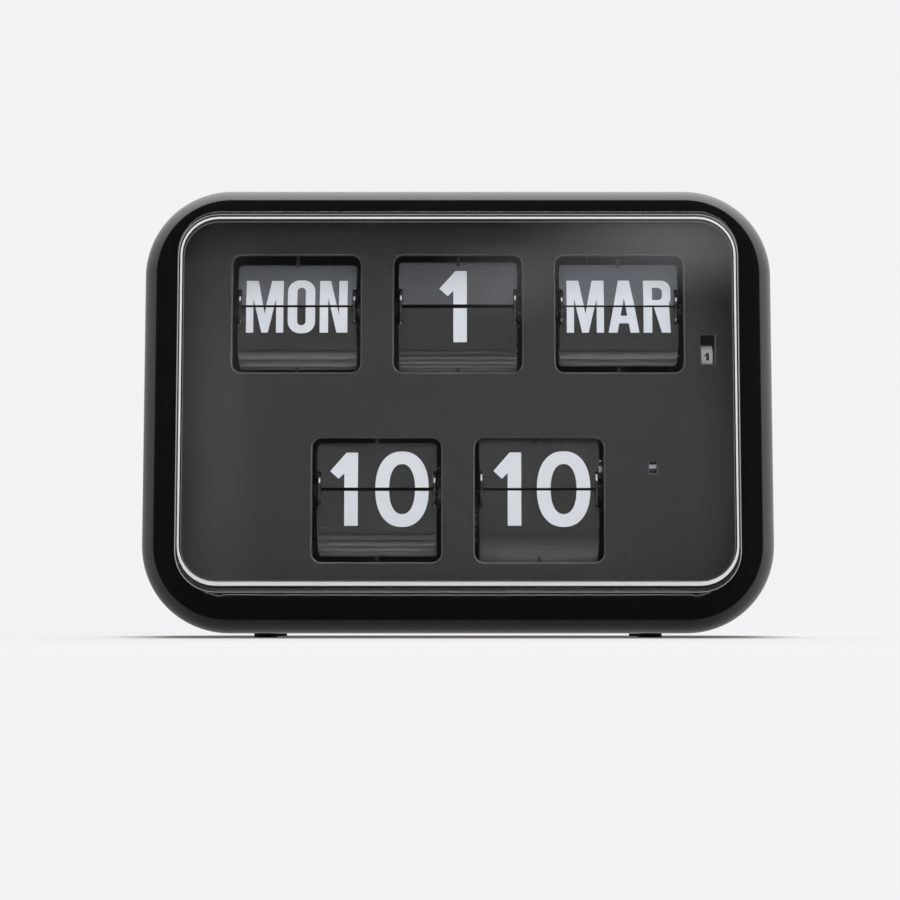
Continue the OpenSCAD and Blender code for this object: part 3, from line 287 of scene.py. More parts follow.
def surface(name, color, roughness, spread, grain, bump, tint=0.12, metallic=0.0):
    """A plastic, rubber or metal: colour, gloss and a fine grain that vary over the piece."""
    material = bpy.data.materials.new(name)
    tree = Tree(material)
    shader = tree.nodes["Principled BSDF"]
    darker = [c * (1 - tint) for c in color] + [1]
    lighter = [c * (1 + tint) for c in color] + [1]
    tree.join(tree.mix_color(tree.noise(TONE_PATCH), darker, lighter), shader.inputs["Base Color"])
    cloud = tree.noise(GLOSS_PATCH, 5.0)
    gloss = tree.ranged(cloud, 0.3, 0.7, max(0.0, roughness - spread), roughness + spread)
    tree.join(gloss, shader.inputs["Roughness"])
    shader.inputs["Metallic"].default_value = metallic
    if bump:
        relief = tree.add("ShaderNodeBump")
        relief.inputs["Strength"].default_value = bump
        relief.inputs["Distance"].default_value = GRAIN_DEPTH
        tree.join(tree.noise(grain, 2.0), relief.inputs["Height"])
        tree.join(relief.outputs[0], shader.inputs["Normal"])
    return material


def clear_lens():
    """Clear acrylic with faint smudges."""
    material = bpy.data.materials.new("lens_clear")
    tree = Tree(material)
    shader = tree.nodes["Principled BSDF"]
    shader.inputs["Base Color"].default_value = (0.97, 0.98, 0.98, 1)
    shader.inputs["Transmission Weight"].default_value = 1
    shader.inputs["IOR"].default_value = LENS_IOR
    smudge = tree.noise(SMUDGE_SIZE, 6.0, (1, 1, 0.4))
    rough = tree.ranged(smudge, SMUDGE_FROM, SMUDGE_FULL, 0.0, SMUDGE_ROUGH)
    tree.join(rough, shader.inputs["Roughness"])
    return material


def painted_lens_highlight(name, glow):
    """A pale strip along the moulded edge of the clear lens: a painted highlight."""
    return surface(name, (glow, glow, glow), *HIGHLIGHT_LINE_FINISH)


LEAF_TONE = (0.026, 0.0255, 0.025)
# Roughness, its spread, grain, bump and tint of all leaves
LEAF_FINISH = (0.42, 0.05, 0.2 * MM, 0.2, 0.08)
# Painted light: the leaves of a pack are painted paler the deeper they lie, from the first Y to the second
LEAF_FRONT, LEAF_DEEP = -22.35 * MM, -12 * MM
DEEP_LIT_TONE = (0.42, 0.42, 0.43)
TIP_SHADOW = 1.2 * MM


def leaf_sheet():
    """Leaf material with painted light, paler with depth, and a painted shadow under the tip of each leaf."""
    material = surface("leaf_dark", LEAF_TONE, *LEAF_FINISH)
    tree = Tree(material)
    shader = tree.nodes["Principled BSDF"]
    split = tree.add("ShaderNodeSeparateXYZ")
    tree.join(tree.add("ShaderNodeTexCoord").outputs["Object"], split.inputs[0])
    # Painted light: the colour turns from the leaf tone to a paler lit tone with depth
    rise = tree.ranged(split.outputs[1], LEAF_FRONT, LEAF_DEEP, 0.0, 1.0, False)
    tone = tree.mix_color(rise, (*LEAF_TONE, 1), (*DEEP_LIT_TONE, 1))
    # Painted shadow: ambient occlusion darkens the colour just under the tip of each leaf
    shade = tree.add("ShaderNodeAmbientOcclusion", samples=8)
    shade.inputs["Distance"].default_value = TIP_SHADOW
    tree.join(tone, shade.inputs["Color"])
    tree.join(shade.outputs["Color"], shader.inputs["Base Color"])
    return material


# Slot: colour, roughness, spread of the roughness, grain in millimetres, bump, tint, metallic
SLOTS = {
    "case_black": ((0.004, 0.004, 0.0045), 0.06, 0.03, 0.9, 0.0, 0.2, 0.0),
    "cover_black": ((0.014, 0.014, 0.015), 0.42, 0.08, 0.5, 0.5, 0.12, 0.0),
    "seal_foam": ((0.02, 0.02, 0.02), 0.9, 0.05, 0.3, 1.0, 0.12, 0.0),
    "dial_grey": ((0.024, 0.0235, 0.023), 0.55, 0.05, 0.25, 0.0, 0.06, 0.0),
    "foot_rubber": ((0.02, 0.02, 0.02), 0.8, 0.05, 0.5, 0.8, 0.12, 0.0),
    "screw_steel": ((0.55, 0.55, 0.56), 0.3, 0.08, 0.6, 0.15, 0.12, 1.0),
    "frame_steel": ((0.03, 0.03, 0.032), 0.45, 0.08, 0.4, 0.3, 0.12, 0.0),
    "drum_plastic": ((0.05, 0.05, 0.055), 0.2, 0.05, 0.5, 0.15, 0.12, 0.5),
    "axle_steel": ((0.6, 0.6, 0.6), 0.2, 0.06, 0.5, 0.1, 0.12, 1.0),
    "spring_steel": ((0.1, 0.1, 0.105), 0.35, 0.08, 0.5, 0.1, 0.12, 1.0),
    "gear_plastic": ((0.05, 0.05, 0.048), 0.4, 0.08, 0.5, 0.2, 0.12, 0.0),
    "motor_case": ((0.04, 0.04, 0.045), 0.4, 0.08, 0.5, 0.4, 0.12, 0.0),
    "indicator_black": ((0.02, 0.02, 0.02), 0.4, 0.06, 0.4, 0.2, 0.12, 0.0),
    "wheel_cream": ((0.8, 0.79, 0.76), 0.45, 0.06, 0.4, 0.15, 0.12, 0.0),
    "knob_black": ((0.022, 0.022, 0.024), 0.38, 0.08, 0.5, 0.4, 0.12, 0.0),
    "board_green": ((0.015, 0.1, 0.04), 0.3, 0.08, 0.8, 0.3, 0.12, 0.0),
    "crystal_can": ((0.7, 0.7, 0.71), 0.25, 0.08, 0.6, 0.1, 0.12, 1.0),
    "wire_skin": ((0.3, 0.02, 0.015), 0.45, 0.06, 0.4, 0.2, 0.12, 0.0),
    "cell_jacket": ((0.12, 0.14, 0.18), 0.3, 0.06, 0.6, 0.1, 0.12, 0.6),
}

# Looks that share a slot: printing ink, painted glints at the ends of the leaf pins, and a painted highlight on
# the rounded edges of the dial
INK_LOOK = ((0.68, 0.7, 0.75), 0.4, 0.05, 0.2 * MM, 0.1, 0.03)
PIN_GLINT_LOOK = ((0.75, 0.75, 0.76), 0.3, 0.05, 0.3 * MM, 0.05, 0.12, 0.3)
DIAL_RIM_HIGHLIGHT_LOOK = ((0.1, 0.098, 0.095), 0.4, 0.05, 0.25 * MM, 0.1, 0.06)
# Painted light: colour of each upper front leaf, painted paler by how far it leans back, for the room above that
# it mirrors
FRONT_LIT_TONES = {
    "day": (0.1, 0.106, 0.118), "date": (0.07, 0.073, 0.08), "month": (0.1, 0.107, 0.12),
    "hour": (0.028, 0.028, 0.028), "minute": (0.028, 0.028, 0.028),
}


def build_materials():
    """One material for each slot of the record."""
    materials = {"lens_clear": clear_lens(), "leaf_dark": leaf_sheet()}
    for name, (color, roughness, spread, grain, bump, tint, metallic) in SLOTS.items():
        materials[name] = surface(name, color, roughness, spread, grain * MM, bump, tint, metallic)
    return materials


def dress_nodes(materials):
    """Gives each carried-over node the material of its slot, and each front leaf a copy of the leaf material with
    a painted-light tone.
    """
    for part in frame["record"]["subparts"]:
        mesh = nodes[part["node"]].data
        mesh.materials.clear()
        mesh.materials.append(materials[part["material_slot"]])
    # Lit and shaded copies of one leaf material: each front leaf gets a painted-light tone
    for module, tone in FRONT_LIT_TONES.items():
        mesh = nodes[module + "_front_leaf"].data
        mesh.materials.clear()
        mesh.materials.append(surface(module + "_front_sheet", tone, *LEAF_FINISH))


# Meshes -----------------------------------------------------------------------------------

# A face counts as square to an axis when its normal lies along it by this much
SQUARE = 0.99999


def mesh_object(name, bm, material, smooth_under=0.0):
    """Turns bm into an object. Edges under smooth_under degrees look rounded."""
    bmesh.ops.recalc_face_normals(bm, faces=bm.faces)
    mesh = bpy.data.meshes.new(name)
    bm.to_mesh(mesh)
    bm.free()
    mesh.materials.append(material)
    if smooth_under:
        mesh.set_sharp_from_angle(angle=math.radians(smooth_under))
        # Faces square to an axis stay flat, so that a fillet doesn't bend their shading
        curved = [max(abs(part) for part in face.normal) < SQUARE for face in mesh.polygons]
        mesh.polygons.foreach_set("use_smooth", curved)
    obj = bpy.data.objects.new(name, mesh)
    bpy.context.scene.collection.objects.link(obj)
    return obj


def place_piece(obj, body, slot, *stands_for):
    """Fixes a piece to a body, in place of the CAD nodes it stands for. The slot is not used."""
    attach(obj, body)
    if stands_for:
        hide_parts(*stands_for)
    return obj


def arc(x, z, radius, start, sweep, steps):
    """Points on part of a circle, with angles in degrees anticlockwise from the right."""
    angles = [math.radians(start + sweep * i / steps) for i in range(steps + 1)]
    return [(x + radius * math.cos(a), z + radius * math.sin(a)) for a in angles]


def rounded_outline(low, high, radius, steps=12):
    """Points of a rounded rectangle between two corners, anticlockwise."""
    points = []
    corners = (
        (high[0] - radius, high[1] - radius, 0),
        (low[0] + radius, high[1] - radius, 90),
        (low[0] + radius, low[1] + radius, 180),
        (high[0] - radius, low[1] + radius, 270),
    )
    for x, z, start in corners:
        points += arc(x, z, radius, start, 90, steps)
    return points


def tube(bm, rings, closed=False):
    """Joins rings of equal length into a tube, and the last to the first if it is closed."""
    loops = [[bm.verts.new(p) for p in points] for points in rings]
    for first, following in zip(loops, loops[1:] + (loops[:1] if closed else [])):
        for i in range(len(first)):
            j = (i + 1) % len(first)
            bm.faces.new((first[i], first[j], following[j], following[i]))
    return loops


def capped(bm, rings):
    """Joins rings of equal length and closes both ends."""
    loops = tube(bm, rings)
    bm.faces.new(loops[0])
    bm.faces.new(loops[-1])


def circle(middle, radius, first, second, count):
    """Points round middle, in the plane of two directions at right angles."""
    turns = [2 * math.pi * i / count for i in range(count)]
    return [middle + radius * (math.cos(t) * first + math.sin(t) * second) for t in turns]


def ring(low, high, radius, grow, y):
    """A rounded rectangle in the XZ plane at depth y, made larger all round by grow."""
    low, high = (low[0] - grow, low[1] - grow), (high[0] + grow, high[1] + grow)
    return [Vector((x, y, z)) for x, z in rounded_outline(low, high, radius + grow, 8)]


def triangles(outlines):
    """Triangles of a flat shape whose first outline is its edge and whose others are its holes."""
    return tessellate_polygon([[Vector((u, v, 0)) for u, v in outline] for outline in outlines])


def fill(bm, loops):
    """Closes a flat face in the XZ plane between its edge loop and the loops of its holes."""
    corners = [v for loop in loops for v in loop]
    for triangle in triangles([[(v.co.x, v.co.z) for v in loop] for loop in loops]):
        bm.faces.new([corners[i] for i in triangle])


# Figures and letters ----------------------------------------------------------------------

# A glyph is a list of closed outlines in millimetres, the first its outer edge and the others
# its holes. Its middle height is the split line of the leaves.


def oval(x0, x1, z0, z1, power, steps=72):
    """A closed curve between an ellipse and its box."""
    points = []
    for i in range(steps):
        a = 2 * math.pi * i / steps
        c, s = math.cos(a), math.sin(a)
        u = math.copysign(abs(c) ** (2 / power), c)
        v = math.copysign(abs(s) ** (2 / power), s)
        points.append(((x0 + x1) / 2 + (x1 - x0) / 2 * u, (z0 + z1) / 2 + (z1 - z0) / 2 * v))
    return points


def figure_one(x, low, high):
    """x is the left side of the stem."""
    stem = 6.7
    flag = [(x + 1.0, high), (x - 7.0, 9.0), (x - 2.8, 5.2), (x, 8.0)]
    return [[(x, low), (x + stem, low), (x + stem, high)] + flag]


def figure_zero(x, low, high):
    width, side, end = 26.4, 6.8, 5.7
    outer = oval(x, x + width, low - 0.6, high + 0.6, 2.25)
    return [outer, oval(x + side, x + width - side, low + end, high - end, 2.25)]


def letter_m(x, low, high, width=18.5):
    stem, cap, foot = 3.6, 5.9, 3.2
    mid = x + width / 2
    right = x + width
    return [[
        (x, low), (x + stem, low), (x + stem, high - 9.5), (mid - foot / 2, low),
        (mid + foot / 2, low), (right - stem, high - 9.5), (right - stem, low), (right, low),
        (right, high), (right - cap, high), (mid, low + 9.5), (x + cap, high), (x, high),
    ]]


def letter_o(x, low, high, width=13.6):
    side, end = 4.7, 3.7
    outer = rounded_outline((x, low - 0.3), (x + width, high + 0.3), 6.0)
    hole = rounded_outline((x + side, low + end), (x + width - side, high - end), 2.05)
    return [outer, hole]


def letter_n(x, low, high, width=13.8):
    stem, cap, right = 4.2, 5.4, x + width
    return [[
        (x, low), (x + stem, low), (x + stem, high - 9), (right - cap, low), (right, low),
        (right, high), (right - stem, high), (right - stem, low + 9), (x + cap, high), (x, high),
    ]]


def letter_a(x, low, high, width=15.3):
    leg, cap = 4.4, 5.4
    mid = x + width / 2
    slope = (width / 2 - cap / 2) / (high - low)
    bar_low, bar_high = low + 4.7, low + 8.5
    half_low, half_high = (width / 2 - leg - slope * (z - low) for z in (bar_low, bar_high))
    outline = [
        (x, low), (x + leg, low), (mid - half_low, bar_low), (mid + half_low, bar_low),
        (x + width - leg, low), (x + width, low), (mid + cap / 2, high), (mid - cap / 2, high),
    ]
    top = min(bar_high + half_high / slope, high - 3.5)
    return [outline, [(mid - half_high, bar_high), (mid + half_high, bar_high), (mid, top)]]


def bowl(x, right, low, high, curve, steps=10):
    """Outline of the bowl of a P or R, from its upper left corner clockwise."""
    upper = arc(right - curve, high - curve, curve, 90, -90, steps)
    return [(x, high)] + upper + arc(right - curve, low + curve, curve, 0, -90, steps) + [(x, low)]


def letter_p(x, low, high, width=13.4, leg=False):
    """A P, or an R where it has a leg."""
    stem = 4.3
    bowl_low = -0.4 if leg else low + (high - low) * 0.42
    curve = bowl(x + 1, x + width, bowl_low, high, 4.6)[1:-1]
    if leg:
        curve = [p for p in curve if p[1] > bowl_low + 1.4]
    outline = [(x, low), (x, high)] + curve
    if leg:
        outline += [(x + width, low), (x + width - 4.4, low), (x + stem + 0.9, bowl_low)]
    outline += [(x + stem, bowl_low), (x + stem, low)]
    hole = bowl(x + stem, x + width - 4.2, bowl_low + 3.6, high - 3.8, 2.2)
    return [outline, hole]


def letter_r(x, low, high):
    return letter_p(x, low, high, 13.5, True)


def letter_t(x, low, high, width=13.4):
    stem, thick = 4.5, 4.2
    left, right = x + width / 2 - stem / 2, x + width / 2 + stem / 2
    return [[
        (left, low), (right, low), (right, high - thick), (x + width, high - thick),
        (x + width, high), (x, high), (x, high - thick), (left, high - thick),
    ]]


def letter_e(x, low, high, width=12.2):
    stem, thick, right = 4.4, 4.1, x + width
    bar_low, bar_high = (low + high) / 2 - thick / 2, (low + high) / 2 + thick / 2
    return [[
        (x, low), (right, low), (right, low + thick), (x + stem, low + thick),
        (x + stem, bar_low), (right - 1, bar_low), (right - 1, bar_high), (x + stem, bar_high),
        (x + stem, high - thick), (right, high - thick), (right, high), (x, high),
    ]]


def letter_u(x, low, high, width=13.8, steps=10):
    stem, outer, inner = 4.4, 6.0, 2.2
    left, right = x + stem, x + width - stem
    points = [(x, high)]
    for middle, start in ((x + outer, 180), (x + width - outer, 270)):
        points += arc(middle, low + outer, outer, start, 90, steps)
    points += [(x + width, high), (right, high)]
    for middle, start in ((right - inner, 0), (left + inner, -90)):
        points += arc(middle, low + stem + inner, inner, start, -90, steps)
    points.append((left, high))
    return [points]


def figure_two(x, low, high, width=24.0, steps=14):
    """A bowl on top, a slanted neck and a flat foot."""
    stroke, foot = 6.6, 6.2
    outer = width / 2
    mid, top = x + width / 2, high - outer
    points = [(x, low), (x + width, low), (x + width, low + foot), (x + 8.6, low + foot)]
    points.append((x + width - 2.2, top - 6.5))
    points += arc(mid, top, outer, -20, 200, steps)
    points += arc(mid, top, outer - stroke, 180, -205, steps)
    points.append((x, low + foot - 0.4))
    return [points]


# What each display shows now and next: glyph, left side, and the figures' lower and upper ends
FIGURE_LOW, FIGURE_HIGH = -18.0, 18.2
LETTER_LOW, LETTER_HIGH = -13.2, 13.5
SHOWN = {
    "day": ((letter_m, -25.4), (letter_o, -4.7), (letter_n, 11.2)),
    "date": ((figure_one, -2.3),),
    "month": ((letter_m, -25.9), (letter_a, -5.1), (letter_r, 12.3)),
    "hour": ((figure_one, -16.1), (figure_zero, -0.8)),
    "minute": ((figure_one, -15.5), (figure_zero, -1.1)),
}
NEXT = {
    "day": ((letter_t, -22.6), (letter_u, -6.9), (letter_e, 10.8)),
    "date": ((figure_two, -12.0),),
    "month": ((letter_a, -23.4), (letter_p, -5.6), (letter_r, 10.0)),
    "hour": ((figure_one, -13.0), (figure_one, 9.0)),
    "minute": ((figure_one, -13.0), (figure_one, 9.0)),
}
# Thickness of the ink, and how far it stands off its leaf
INK_T = 0.012 * MM
INK_GAP = 0.008 * MM
# Millimetres that the ink keeps from the edge of its leaf at the split
INK_MARGIN = 0.05
# Where the tip of an upper leaf and the head of a lower leaf are looked for
TIP_ZONE, HEAD_ZONE = 0.3 * MM, 2.5 * MM


def print_mesh(name, glyphs, letters, upper, edge, to_leaf, material):
    """Ink of one half of the glyphs, edge millimetres or more from the split line.

    to_leaf turns x, z and the height above the leaf, all in metres, into a place.
    """
    low, high = (LETTER_LOW, LETTER_HIGH) if letters else (FIGURE_LOW, FIGURE_HIGH)
    bm = bmesh.new()
    for glyph, left in glyphs:
        outlines = glyph(left, low, high)
        verts = [bm.verts.new((x, z, 0)) for outline in outlines for x, z in outline]
        for triangle in triangles(outlines):
            bm.faces.new([verts[i] for i in triangle])
    side = 1 if upper else -1
    bmesh.ops.bisect_plane(
        bm, geom=bm.verts[:] + bm.edges[:] + bm.faces[:],
        plane_co=(0, side * edge, 0), plane_no=(0, side, 0), clear_inner=True,
    )
    front = bmesh.ops.extrude_face_region(bm, geom=bm.faces[:])["geom"]
    lifted = {v for v in front if isinstance(v, bmesh.types.BMVert)}
    for v in bm.verts:
        height = INK_GAP + (INK_T if v in lifted else 0)
        v.co = to_leaf(v.co.x * MM, v.co.y * MM, height)
    return mesh_object(name, bm, material)


def leaf_planes(module):
    """Maps for ink on the upper front leaf, on its back, and on the lower front leaf."""
    low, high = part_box(module + "_front_leaf")
    leaf = [v.co for v in nodes[module + "_front_leaf"].data.vertices]
    pack = [v.co for v in nodes[module + "_leaf_pack"].data.vertices]
    middle = (low.x + high.x) / 2
    hinge = Vector(joints[module + "_leaf_fall"]["pos_m"])
    split = joints[module + "_drum_turn"]["pos_m"][2]
    reach = hinge.z - split
    ends = [v for v in leaf if v.z > high.z - TIP_ZONE]
    tip = sum(ends, Vector()) / len(ends)
    lean = math.atan2(tip.y - hinge.y, tip.z - hinge.z)
    along = Vector((0, math.sin(lean), math.cos(lean)))
    out = Vector((0, -math.cos(lean), math.sin(lean)))
    spans = [(v - hinge).dot(out) for v in leaf]
    foot = min(pack, key=lambda v: (round(v.y, 6), v.z))
    head = min((v for v in pack if split - HEAD_ZONE < v.z < split), key=lambda v: v.y)
    slope = (head.y - foot.y) / (head.z - foot.z)

    def upper(x, z, height):
        start = Vector((middle + x, hinge.y, hinge.z))
        return start + along * (z - reach) + out * (max(spans) + height)

    def back(x, z, height):
        start = Vector((middle + x, hinge.y, hinge.z))
        return start + along * (-z - reach) + out * (min(spans) - height)

    def lower(x, z, height):
        return Vector((middle + x, foot.y + slope * (split + z - foot.z) - height, split + z))

    return upper, back, lower


def print_leaves(material):
    """Ink on the upper front leaf, on its back and on the lower front leaf of each display."""
    for module in MODULES:
        leaf = module + "_front_leaf"
        upper, back, lower = leaf_planes(module)
        split = joints[module + "_drum_turn"]["pos_m"][2]
        edge = (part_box(leaf)[0].z - split) / MM + INK_MARGIN
        prints = (
            ("upper", SHOWN, True, upper, leaf),
            ("back", NEXT, False, back, leaf),
            ("lower", SHOWN, False, lower, CASE_BODY),
        )
        for part, glyphs, above, to_leaf, body in prints:
            name = f"{module}_{part}_print"
            letters = module in ("day", "month")
            ink = print_mesh(name, glyphs[module], letters, above, edge, to_leaf, material)
            place_piece(ink, body, "wheel_cream")


# Dial, lens and small parts ---------------------------------------------------------------

DIAL_T, DIAL_R, DIAL_EDGE = 2.5 * MM, 35 * MM, 1.1 * MM
# Windows in millimetres round the middle of a display: half width, reach upwards, corner radius,
# and the reach downwards in the upper and the lower row
WINDOW_HALF, WINDOW_UP, WINDOW_R = 31.7, 25, 4.5
UPPER_DOWN, LOWER_DOWN = 33.4, 35.9
# The two small windows: place in metres, then half width, reach upwards and downwards, and radius
LEAP_WINDOW = (123.6 * MM, 141.9 * MM, 3.45, 7.1, 7.1, 0.3)
RUN_WINDOW = (96.1 * MM, 83.4 * MM, 1.8, 2.65, 2.65, 0.3)
DIAL_SCREW_X = (-145 * MM, 145 * MM)
DIAL_SCREW_Z = (49.5 * MM, 173.5 * MM)
DIAL_HOLE_R = 1.3
# Posts behind the dial that carry the control board
BOARD_X = (108.1 * MM, 136.1 * MM)
BOARD_Z = (41.5 * MM, 73.5 * MM)
POST_R, POST_ROOT = 2.5, 0.5 * MM
# The rim, painted paler as a highlight, takes in the rounded edges: faces near the front that tilt this much
RIM_DEPTH = 1.5 * MM
RIM_TILT = (0.25, 0.98)


def cut_plate(bm, front, back, shapes, edge, steps=4):
    """A plate with rounded front edges: an outline first, then the windows cut in it."""
    fronts, backs = [], []
    for index, (low, high, radius) in enumerate(shapes):
        toward = -1 if index == 0 else 1
        rings = []
        for i in range(steps + 1):
            turn = math.pi / 2 * i / steps
            grow = toward * edge * (1 - math.sin(turn))
            rings.append(ring(low, high, radius, grow, front + edge * (1 - math.cos(turn))))
        rings.append(ring(low, high, radius, 0, back))
        loops = tube(bm, rings)
        fronts.append(loops[0])
        backs.append(loops[-1])
    fill(bm, fronts)
    fill(bm, backs)


def around(x, z, half_w, up, down, radius):
    """A shape of cut_plate in millimetres from a place in metres."""
    return ((x - half_w * MM, z - down * MM), (x + half_w * MM, z + up * MM), radius * MM)


def disc(x, z, radius):
    """A round shape of cut_plate, with its radius in millimetres."""
    return around(x, z, radius, radius, radius, radius - 0.001)


def build_dial(material):
    """The dial plate with its windows and screw holes, and the posts behind it."""
    low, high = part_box("dial_plate")
    front, back = low.y, low.y + DIAL_T
    shapes = [((low.x, low.z), (high.x, high.z), DIAL_R)]
    for module in MODULES:
        x, _, z = joints[module + "_drum_turn"]["pos_m"]
        down = LOWER_DOWN if module in ("hour", "minute") else UPPER_DOWN
        shapes.append(around(x, z, WINDOW_HALF, WINDOW_UP, down, WINDOW_R))
    shapes += [around(*LEAP_WINDOW), around(*RUN_WINDOW)]
    shapes += [disc(x, z, DIAL_HOLE_R) for x in DIAL_SCREW_X for z in DIAL_SCREW_Z]
    bm = bmesh.new()
    cut_plate(bm, front, back, shapes, DIAL_EDGE)
    for x in BOARD_X:
        for z in BOARD_Z:
            capped(bm, [ring(*disc(x, z, POST_R), 0, y) for y in (back - POST_ROOT, high.y)])
    dial = mesh_object("dial", bm, material, 40)
    # Painted highlight: the rounded front edges get a paler rim material
    dial.data.materials.append(surface("dial_rim", *DIAL_RIM_HIGHLIGHT_LOOK))
    for face in dial.data.polygons:
        tilted = RIM_TILT[0] < abs(face.normal.y) < RIM_TILT[1]
        face.material_index = int(tilted and face.center.y < front + RIM_DEPTH)
    place_piece(dial, CASE_BODY, "dial_grey", "dial_plate")


FLANGE = 3 * MM
FLANGE_T = 2 * MM
LENS_WALL = 2.2 * MM
LENS_R = 20 * MM
# The rounded rim in millimetres: growth and depth behind the face
LENS_RIM = ((-4.0, 0.0), (-1.2, 0.0), (-0.6, 0.12), (-0.2, 0.45), (0.0, 1.0))
# Depths of the inner face and of the end of its chamfer, behind the front face
INNER_FACE, INNER_WALL = 2.45 * MM, 3.2 * MM
INNER_CHAMFER = 0.75 * MM
# Painted highlight lines of the lens: brightness, then how far their edges lie in from its sides, top and bottom
LENS_HIGHLIGHT_LINES = (
    ("lens_line_outer", 0.4, (0.2, 1.6, 0.1), (0.65, 2.0, 0.4)),
    ("lens_line_main", 0.8, (1.4, 2.9, 3.3), (2.3, 3.9, 5.2)),
    ("lens_line_inner", 0.16, (2.95, 5.2, 5.6), (3.35, 5.6, 5.8)),
)
# The painted highlight lines stand this much proud of the face and end this much in front of it
LINE_PROUD, LINE_GAP = 0.05 * MM, 0.005 * MM


def build_lens(clear):
    """The tray-shaped lens with a rounded rim, and painted highlight lines along its moulded edge."""
    low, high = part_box("lens")
    front, back = low.y, high.y
    face = front + LINE_PROUD
    low, high = (low.x + FLANGE, low.z + FLANGE), (high.x - FLANGE, high.z - FLANGE)
    profile = [(grow * MM, face + depth * MM) for grow, depth in LENS_RIM]
    profile += [
        (0, back - FLANGE_T), (FLANGE, back - FLANGE_T), (FLANGE, back), (-LENS_WALL, back),
        (-LENS_WALL, face + INNER_WALL), (-LENS_WALL - INNER_CHAMFER, face + INNER_FACE),
    ]
    bm = bmesh.new()
    capped(bm, [ring(low, high, LENS_R, grow, y) for grow, y in profile])
    lens = mesh_object("lens_body", bm, clear, 50)
    lens.visible_shadow = False
    place_piece(lens, CASE_BODY, "lens_clear", "lens")
    rear = face - LINE_GAP
    # Pale strips just in front of the lens face: painted highlights
    for name, glow, start, end in LENS_HIGHLIGHT_LINES:
        outer, inner = [
            (
                (low[0] + side * MM, low[1] + bottom * MM),
                (high[0] - side * MM, high[1] - top * MM),
                LENS_R - side * MM,
            )
            for side, top, bottom in (start, end)
        ]
        section = ((outer, front), (inner, front), (inner, rear), (outer, rear))
        bm = bmesh.new()
        tube(bm, [ring(*shape, 0, y) for shape, y in section], closed=True)
        place_piece(mesh_object(name, bm, painted_lens_highlight(name, glow)), CASE_BODY, "lens_clear")


# Radius of each drum's discs, with the painted pin glints a hair proud of them
DISC_R = {
    "day": 11.82 * MM, "date": 12.82 * MM, "month": 10.32 * MM,
    "hour": 13.32 * MM, "minute": 17.82 * MM,
}
# Spans across of the painted pin glints on the two discs of a drum, and their turn round it in degrees
PIN_SPANS = ((-28.8, -28.0), (28.0, 28.8))
PIN_START, PIN_PITCH, PIN_ARC = 14, 60, 11
# Thickness of a printed band, a band of painted shade or a painted glint, and how far a printed or shaded band
# stands off its drum
BAND_T, BAND_PROUD = 0.03 * MM, 0.02 * MM
# Bands: span across in millimetres, and span up the front in degrees
# Painted shade: a dark band over the upper part of the leap-year wheel, where it turns away into shade
LEAP_SHADE_FIELD = (((-2.7, 2.7), (56, 130)),)
LEAP_NUMBER = (((-0.5, 1.0), (-9, 19)), ((-1.1, -0.5), (8, 14)), ((-1.6, -1.1), (5, 11)))
INDICATOR_BARS = [((-2.4, 2.4), (start, start + 14)) for start in range(-2, 358, 60)]


def band_on_drum(bm, centre, radius, across, along):
    """A thin band round a drum, as wide and as far round as the spans across and along say."""
    steps = max(2, int(abs(along[1] - along[0]) / 4))
    sides = [centre.x + side * MM for side in across]
    inner = radius - BAND_T
    rows = []
    for i in range(steps + 1):
        angle = math.radians(along[0] + (along[1] - along[0]) * i / steps)
        corners = ((sides[0], inner), (sides[1], inner), (sides[1], radius), (sides[0], radius))
        back, up = -math.cos(angle), math.sin(angle)
        rows.append([Vector((x, centre.y + r * back, centre.z + r * up)) for x, r in corners])
    capped(bm, rows)


def drum_print(name, node, body, slot, bands, material):
    """Printed bands, or a band of painted shade, on the drum that a node draws."""
    low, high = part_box(node)
    radius = (high.z - low.z) / 2 + BAND_PROUD
    bm = bmesh.new()
    for across, along in bands:
        band_on_drum(bm, (low + high) / 2, radius, across, along)
    place_piece(mesh_object(name, bm, material), body, slot)


def build_leap_label(dark):
    """A band of painted shade over the upper part of the leap-year wheel, and the number printed on it."""
    wheel = "leap_year_wheel"
    drum_print("leap_field", wheel, wheel, "wheel_cream", LEAP_SHADE_FIELD, dark)
    drum_print("leap_number", wheel, wheel, "wheel_cream", LEAP_NUMBER, dark)


def build_indicator_bars(light):
    """White bars round the running drum."""
    drum = "running_indicator"
    drum_print("indicator_bars", drum, "motor_rotor", "indicator_black", INDICATOR_BARS, light)


def build_pin_glints(steel):
    """Pale bands at the pin ends on the rims of the drum discs: painted glints."""
    for module in MODULES:
        place = Vector(joints[module + "_drum_turn"]["pos_m"])
        bm = bmesh.new()
        for across in PIN_SPANS:
            for start in range(PIN_START, PIN_START + 360, PIN_PITCH):
                # Each band is a painted glint on the rim of a disc
                band_on_drum(bm, place, DISC_R[module], across, (start, start + PIN_ARC))
        place_piece(mesh_object(module + "_pin_ends", bm, steel), module + "_drum", "drum_plastic")


RIGHT, UP = Vector((1, 0, 0)), Vector((0, 0, 1))
HEAD_R, HEAD_T, HEAD_EDGE, SHANK_R = 3 * MM, 1.3 * MM, 0.3 * MM, 1.15 * MM
# The cross recess: half width of an arm, its reach from the middle, and its depth
CROSS_HALF, CROSS_REACH, CROSS_DEEP = 0.4 * MM, 1.7 * MM, 0.9 * MM


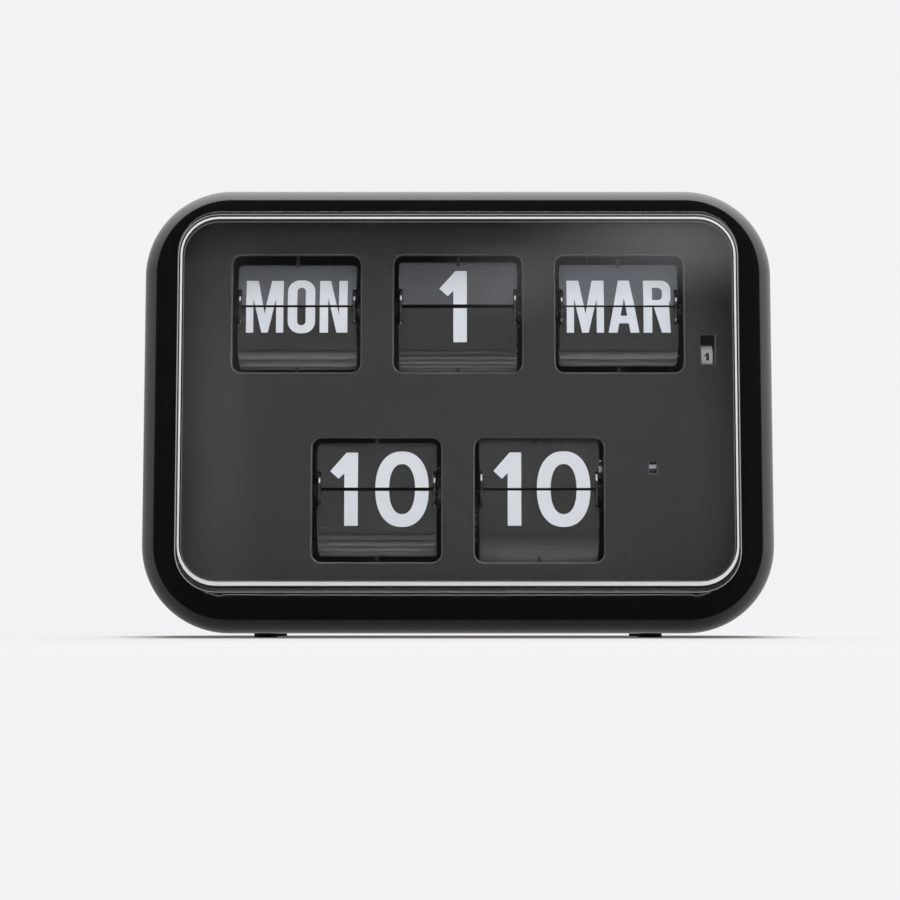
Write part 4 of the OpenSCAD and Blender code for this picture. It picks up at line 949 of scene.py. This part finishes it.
def build_screws(material):
    """Cover screws with a cross recess in the head."""
    low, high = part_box("case_screws")
    profile = (
        (SHANK_R, low.y), (SHANK_R, high.y - HEAD_T), (HEAD_R, high.y - HEAD_T),
        (HEAD_R, high.y - HEAD_EDGE), (HEAD_R - HEAD_EDGE, high.y),
    )
    arm = ((CROSS_HALF, -CROSS_HALF), (CROSS_REACH, -CROSS_HALF), (CROSS_REACH, CROSS_HALF))
    cross = [
        along * direction + side * across
        for direction, across in ((RIGHT, UP), (UP, -RIGHT), (-RIGHT, -UP), (-UP, RIGHT))
        for along, side in arm
    ]
    bm = bmesh.new()
    for x in (low.x + HEAD_R, high.x - HEAD_R):
        for z in (low.z + HEAD_R, high.z - HEAD_R):
            loops = tube(bm, [circle(Vector((x, y, z)), r, RIGHT, UP, 32) for r, y in profile])
            bm.faces.new(loops[0])
            ends = [Vector((x, high.y - deep, z)) for deep in (0, CROSS_DEEP)]
            recess = tube(bm, [[end + p for p in cross] for end in ends])
            fill(bm, [recess[1]])
            fill(bm, [loops[-1], recess[0]])
    screws = mesh_object("case_screw_set", bm, material, 35)
    place_piece(screws, CASE_BODY, "screw_steel", "case_screws")


SPRING_PLATE, SPRING_WIRE = 0.5 * MM, 0.45 * MM
SPRING_FOOT_R, SPRING_TIP_R = 6 * MM, 3.5 * MM
SPRING_HALF_TURNS, SPRING_STEPS = 7, 120


def build_spring(material):
    """Battery spring: a plate and a wire that winds in towards its tip."""
    low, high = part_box("battery_spring")
    middle = (low + high) / 2
    bm = bmesh.new()
    corners = ((low.y, low.z), (high.y, low.z), (high.y, high.z), (low.y, high.z))
    plate_end = low.x + SPRING_PLATE
    capped(bm, [[Vector((x, y, z)) for y, z in corners] for x in (low.x, plate_end)])
    span = high.x - plate_end - 2 * SPRING_WIRE
    rings = []
    for i in range(SPRING_STEPS + 1):
        share = i / SPRING_STEPS
        angle = share * SPRING_HALF_TURNS * math.pi
        out = Vector((0, math.cos(angle), math.sin(angle)))
        radius = SPRING_FOOT_R + (SPRING_TIP_R - SPRING_FOOT_R) * share
        core = Vector((plate_end + SPRING_WIRE + share * span, middle.y, middle.z))
        rings.append(circle(core + radius * out, SPRING_WIRE, out, RIGHT, 10))
    capped(bm, rings)
    coil = mesh_object("battery_coil", bm, material, 60)
    place_piece(coil, CASE_BODY, "spring_steel", "battery_spring")


# Scene ------------------------------------------------------------------------------------


def build():
    bpy.context.scene.view_settings.view_transform = "Standard"
    materials = build_materials()
    ink = surface("ink_white", *INK_LOOK)
    build_camera()
    build_world()
    build_floor()
    build_lamps()
    dress_nodes(materials)
    build_pin_glints(surface("pin_steel", *PIN_GLINT_LOOK))
    build_screws(materials["screw_steel"])
    build_spring(materials["spring_steel"])
    build_leap_label(materials["indicator_black"])
    build_indicator_bars(ink)
    build_dial(materials["dial_grey"])
    build_lens(materials["lens_clear"])
    print_leaves(ink)


build()
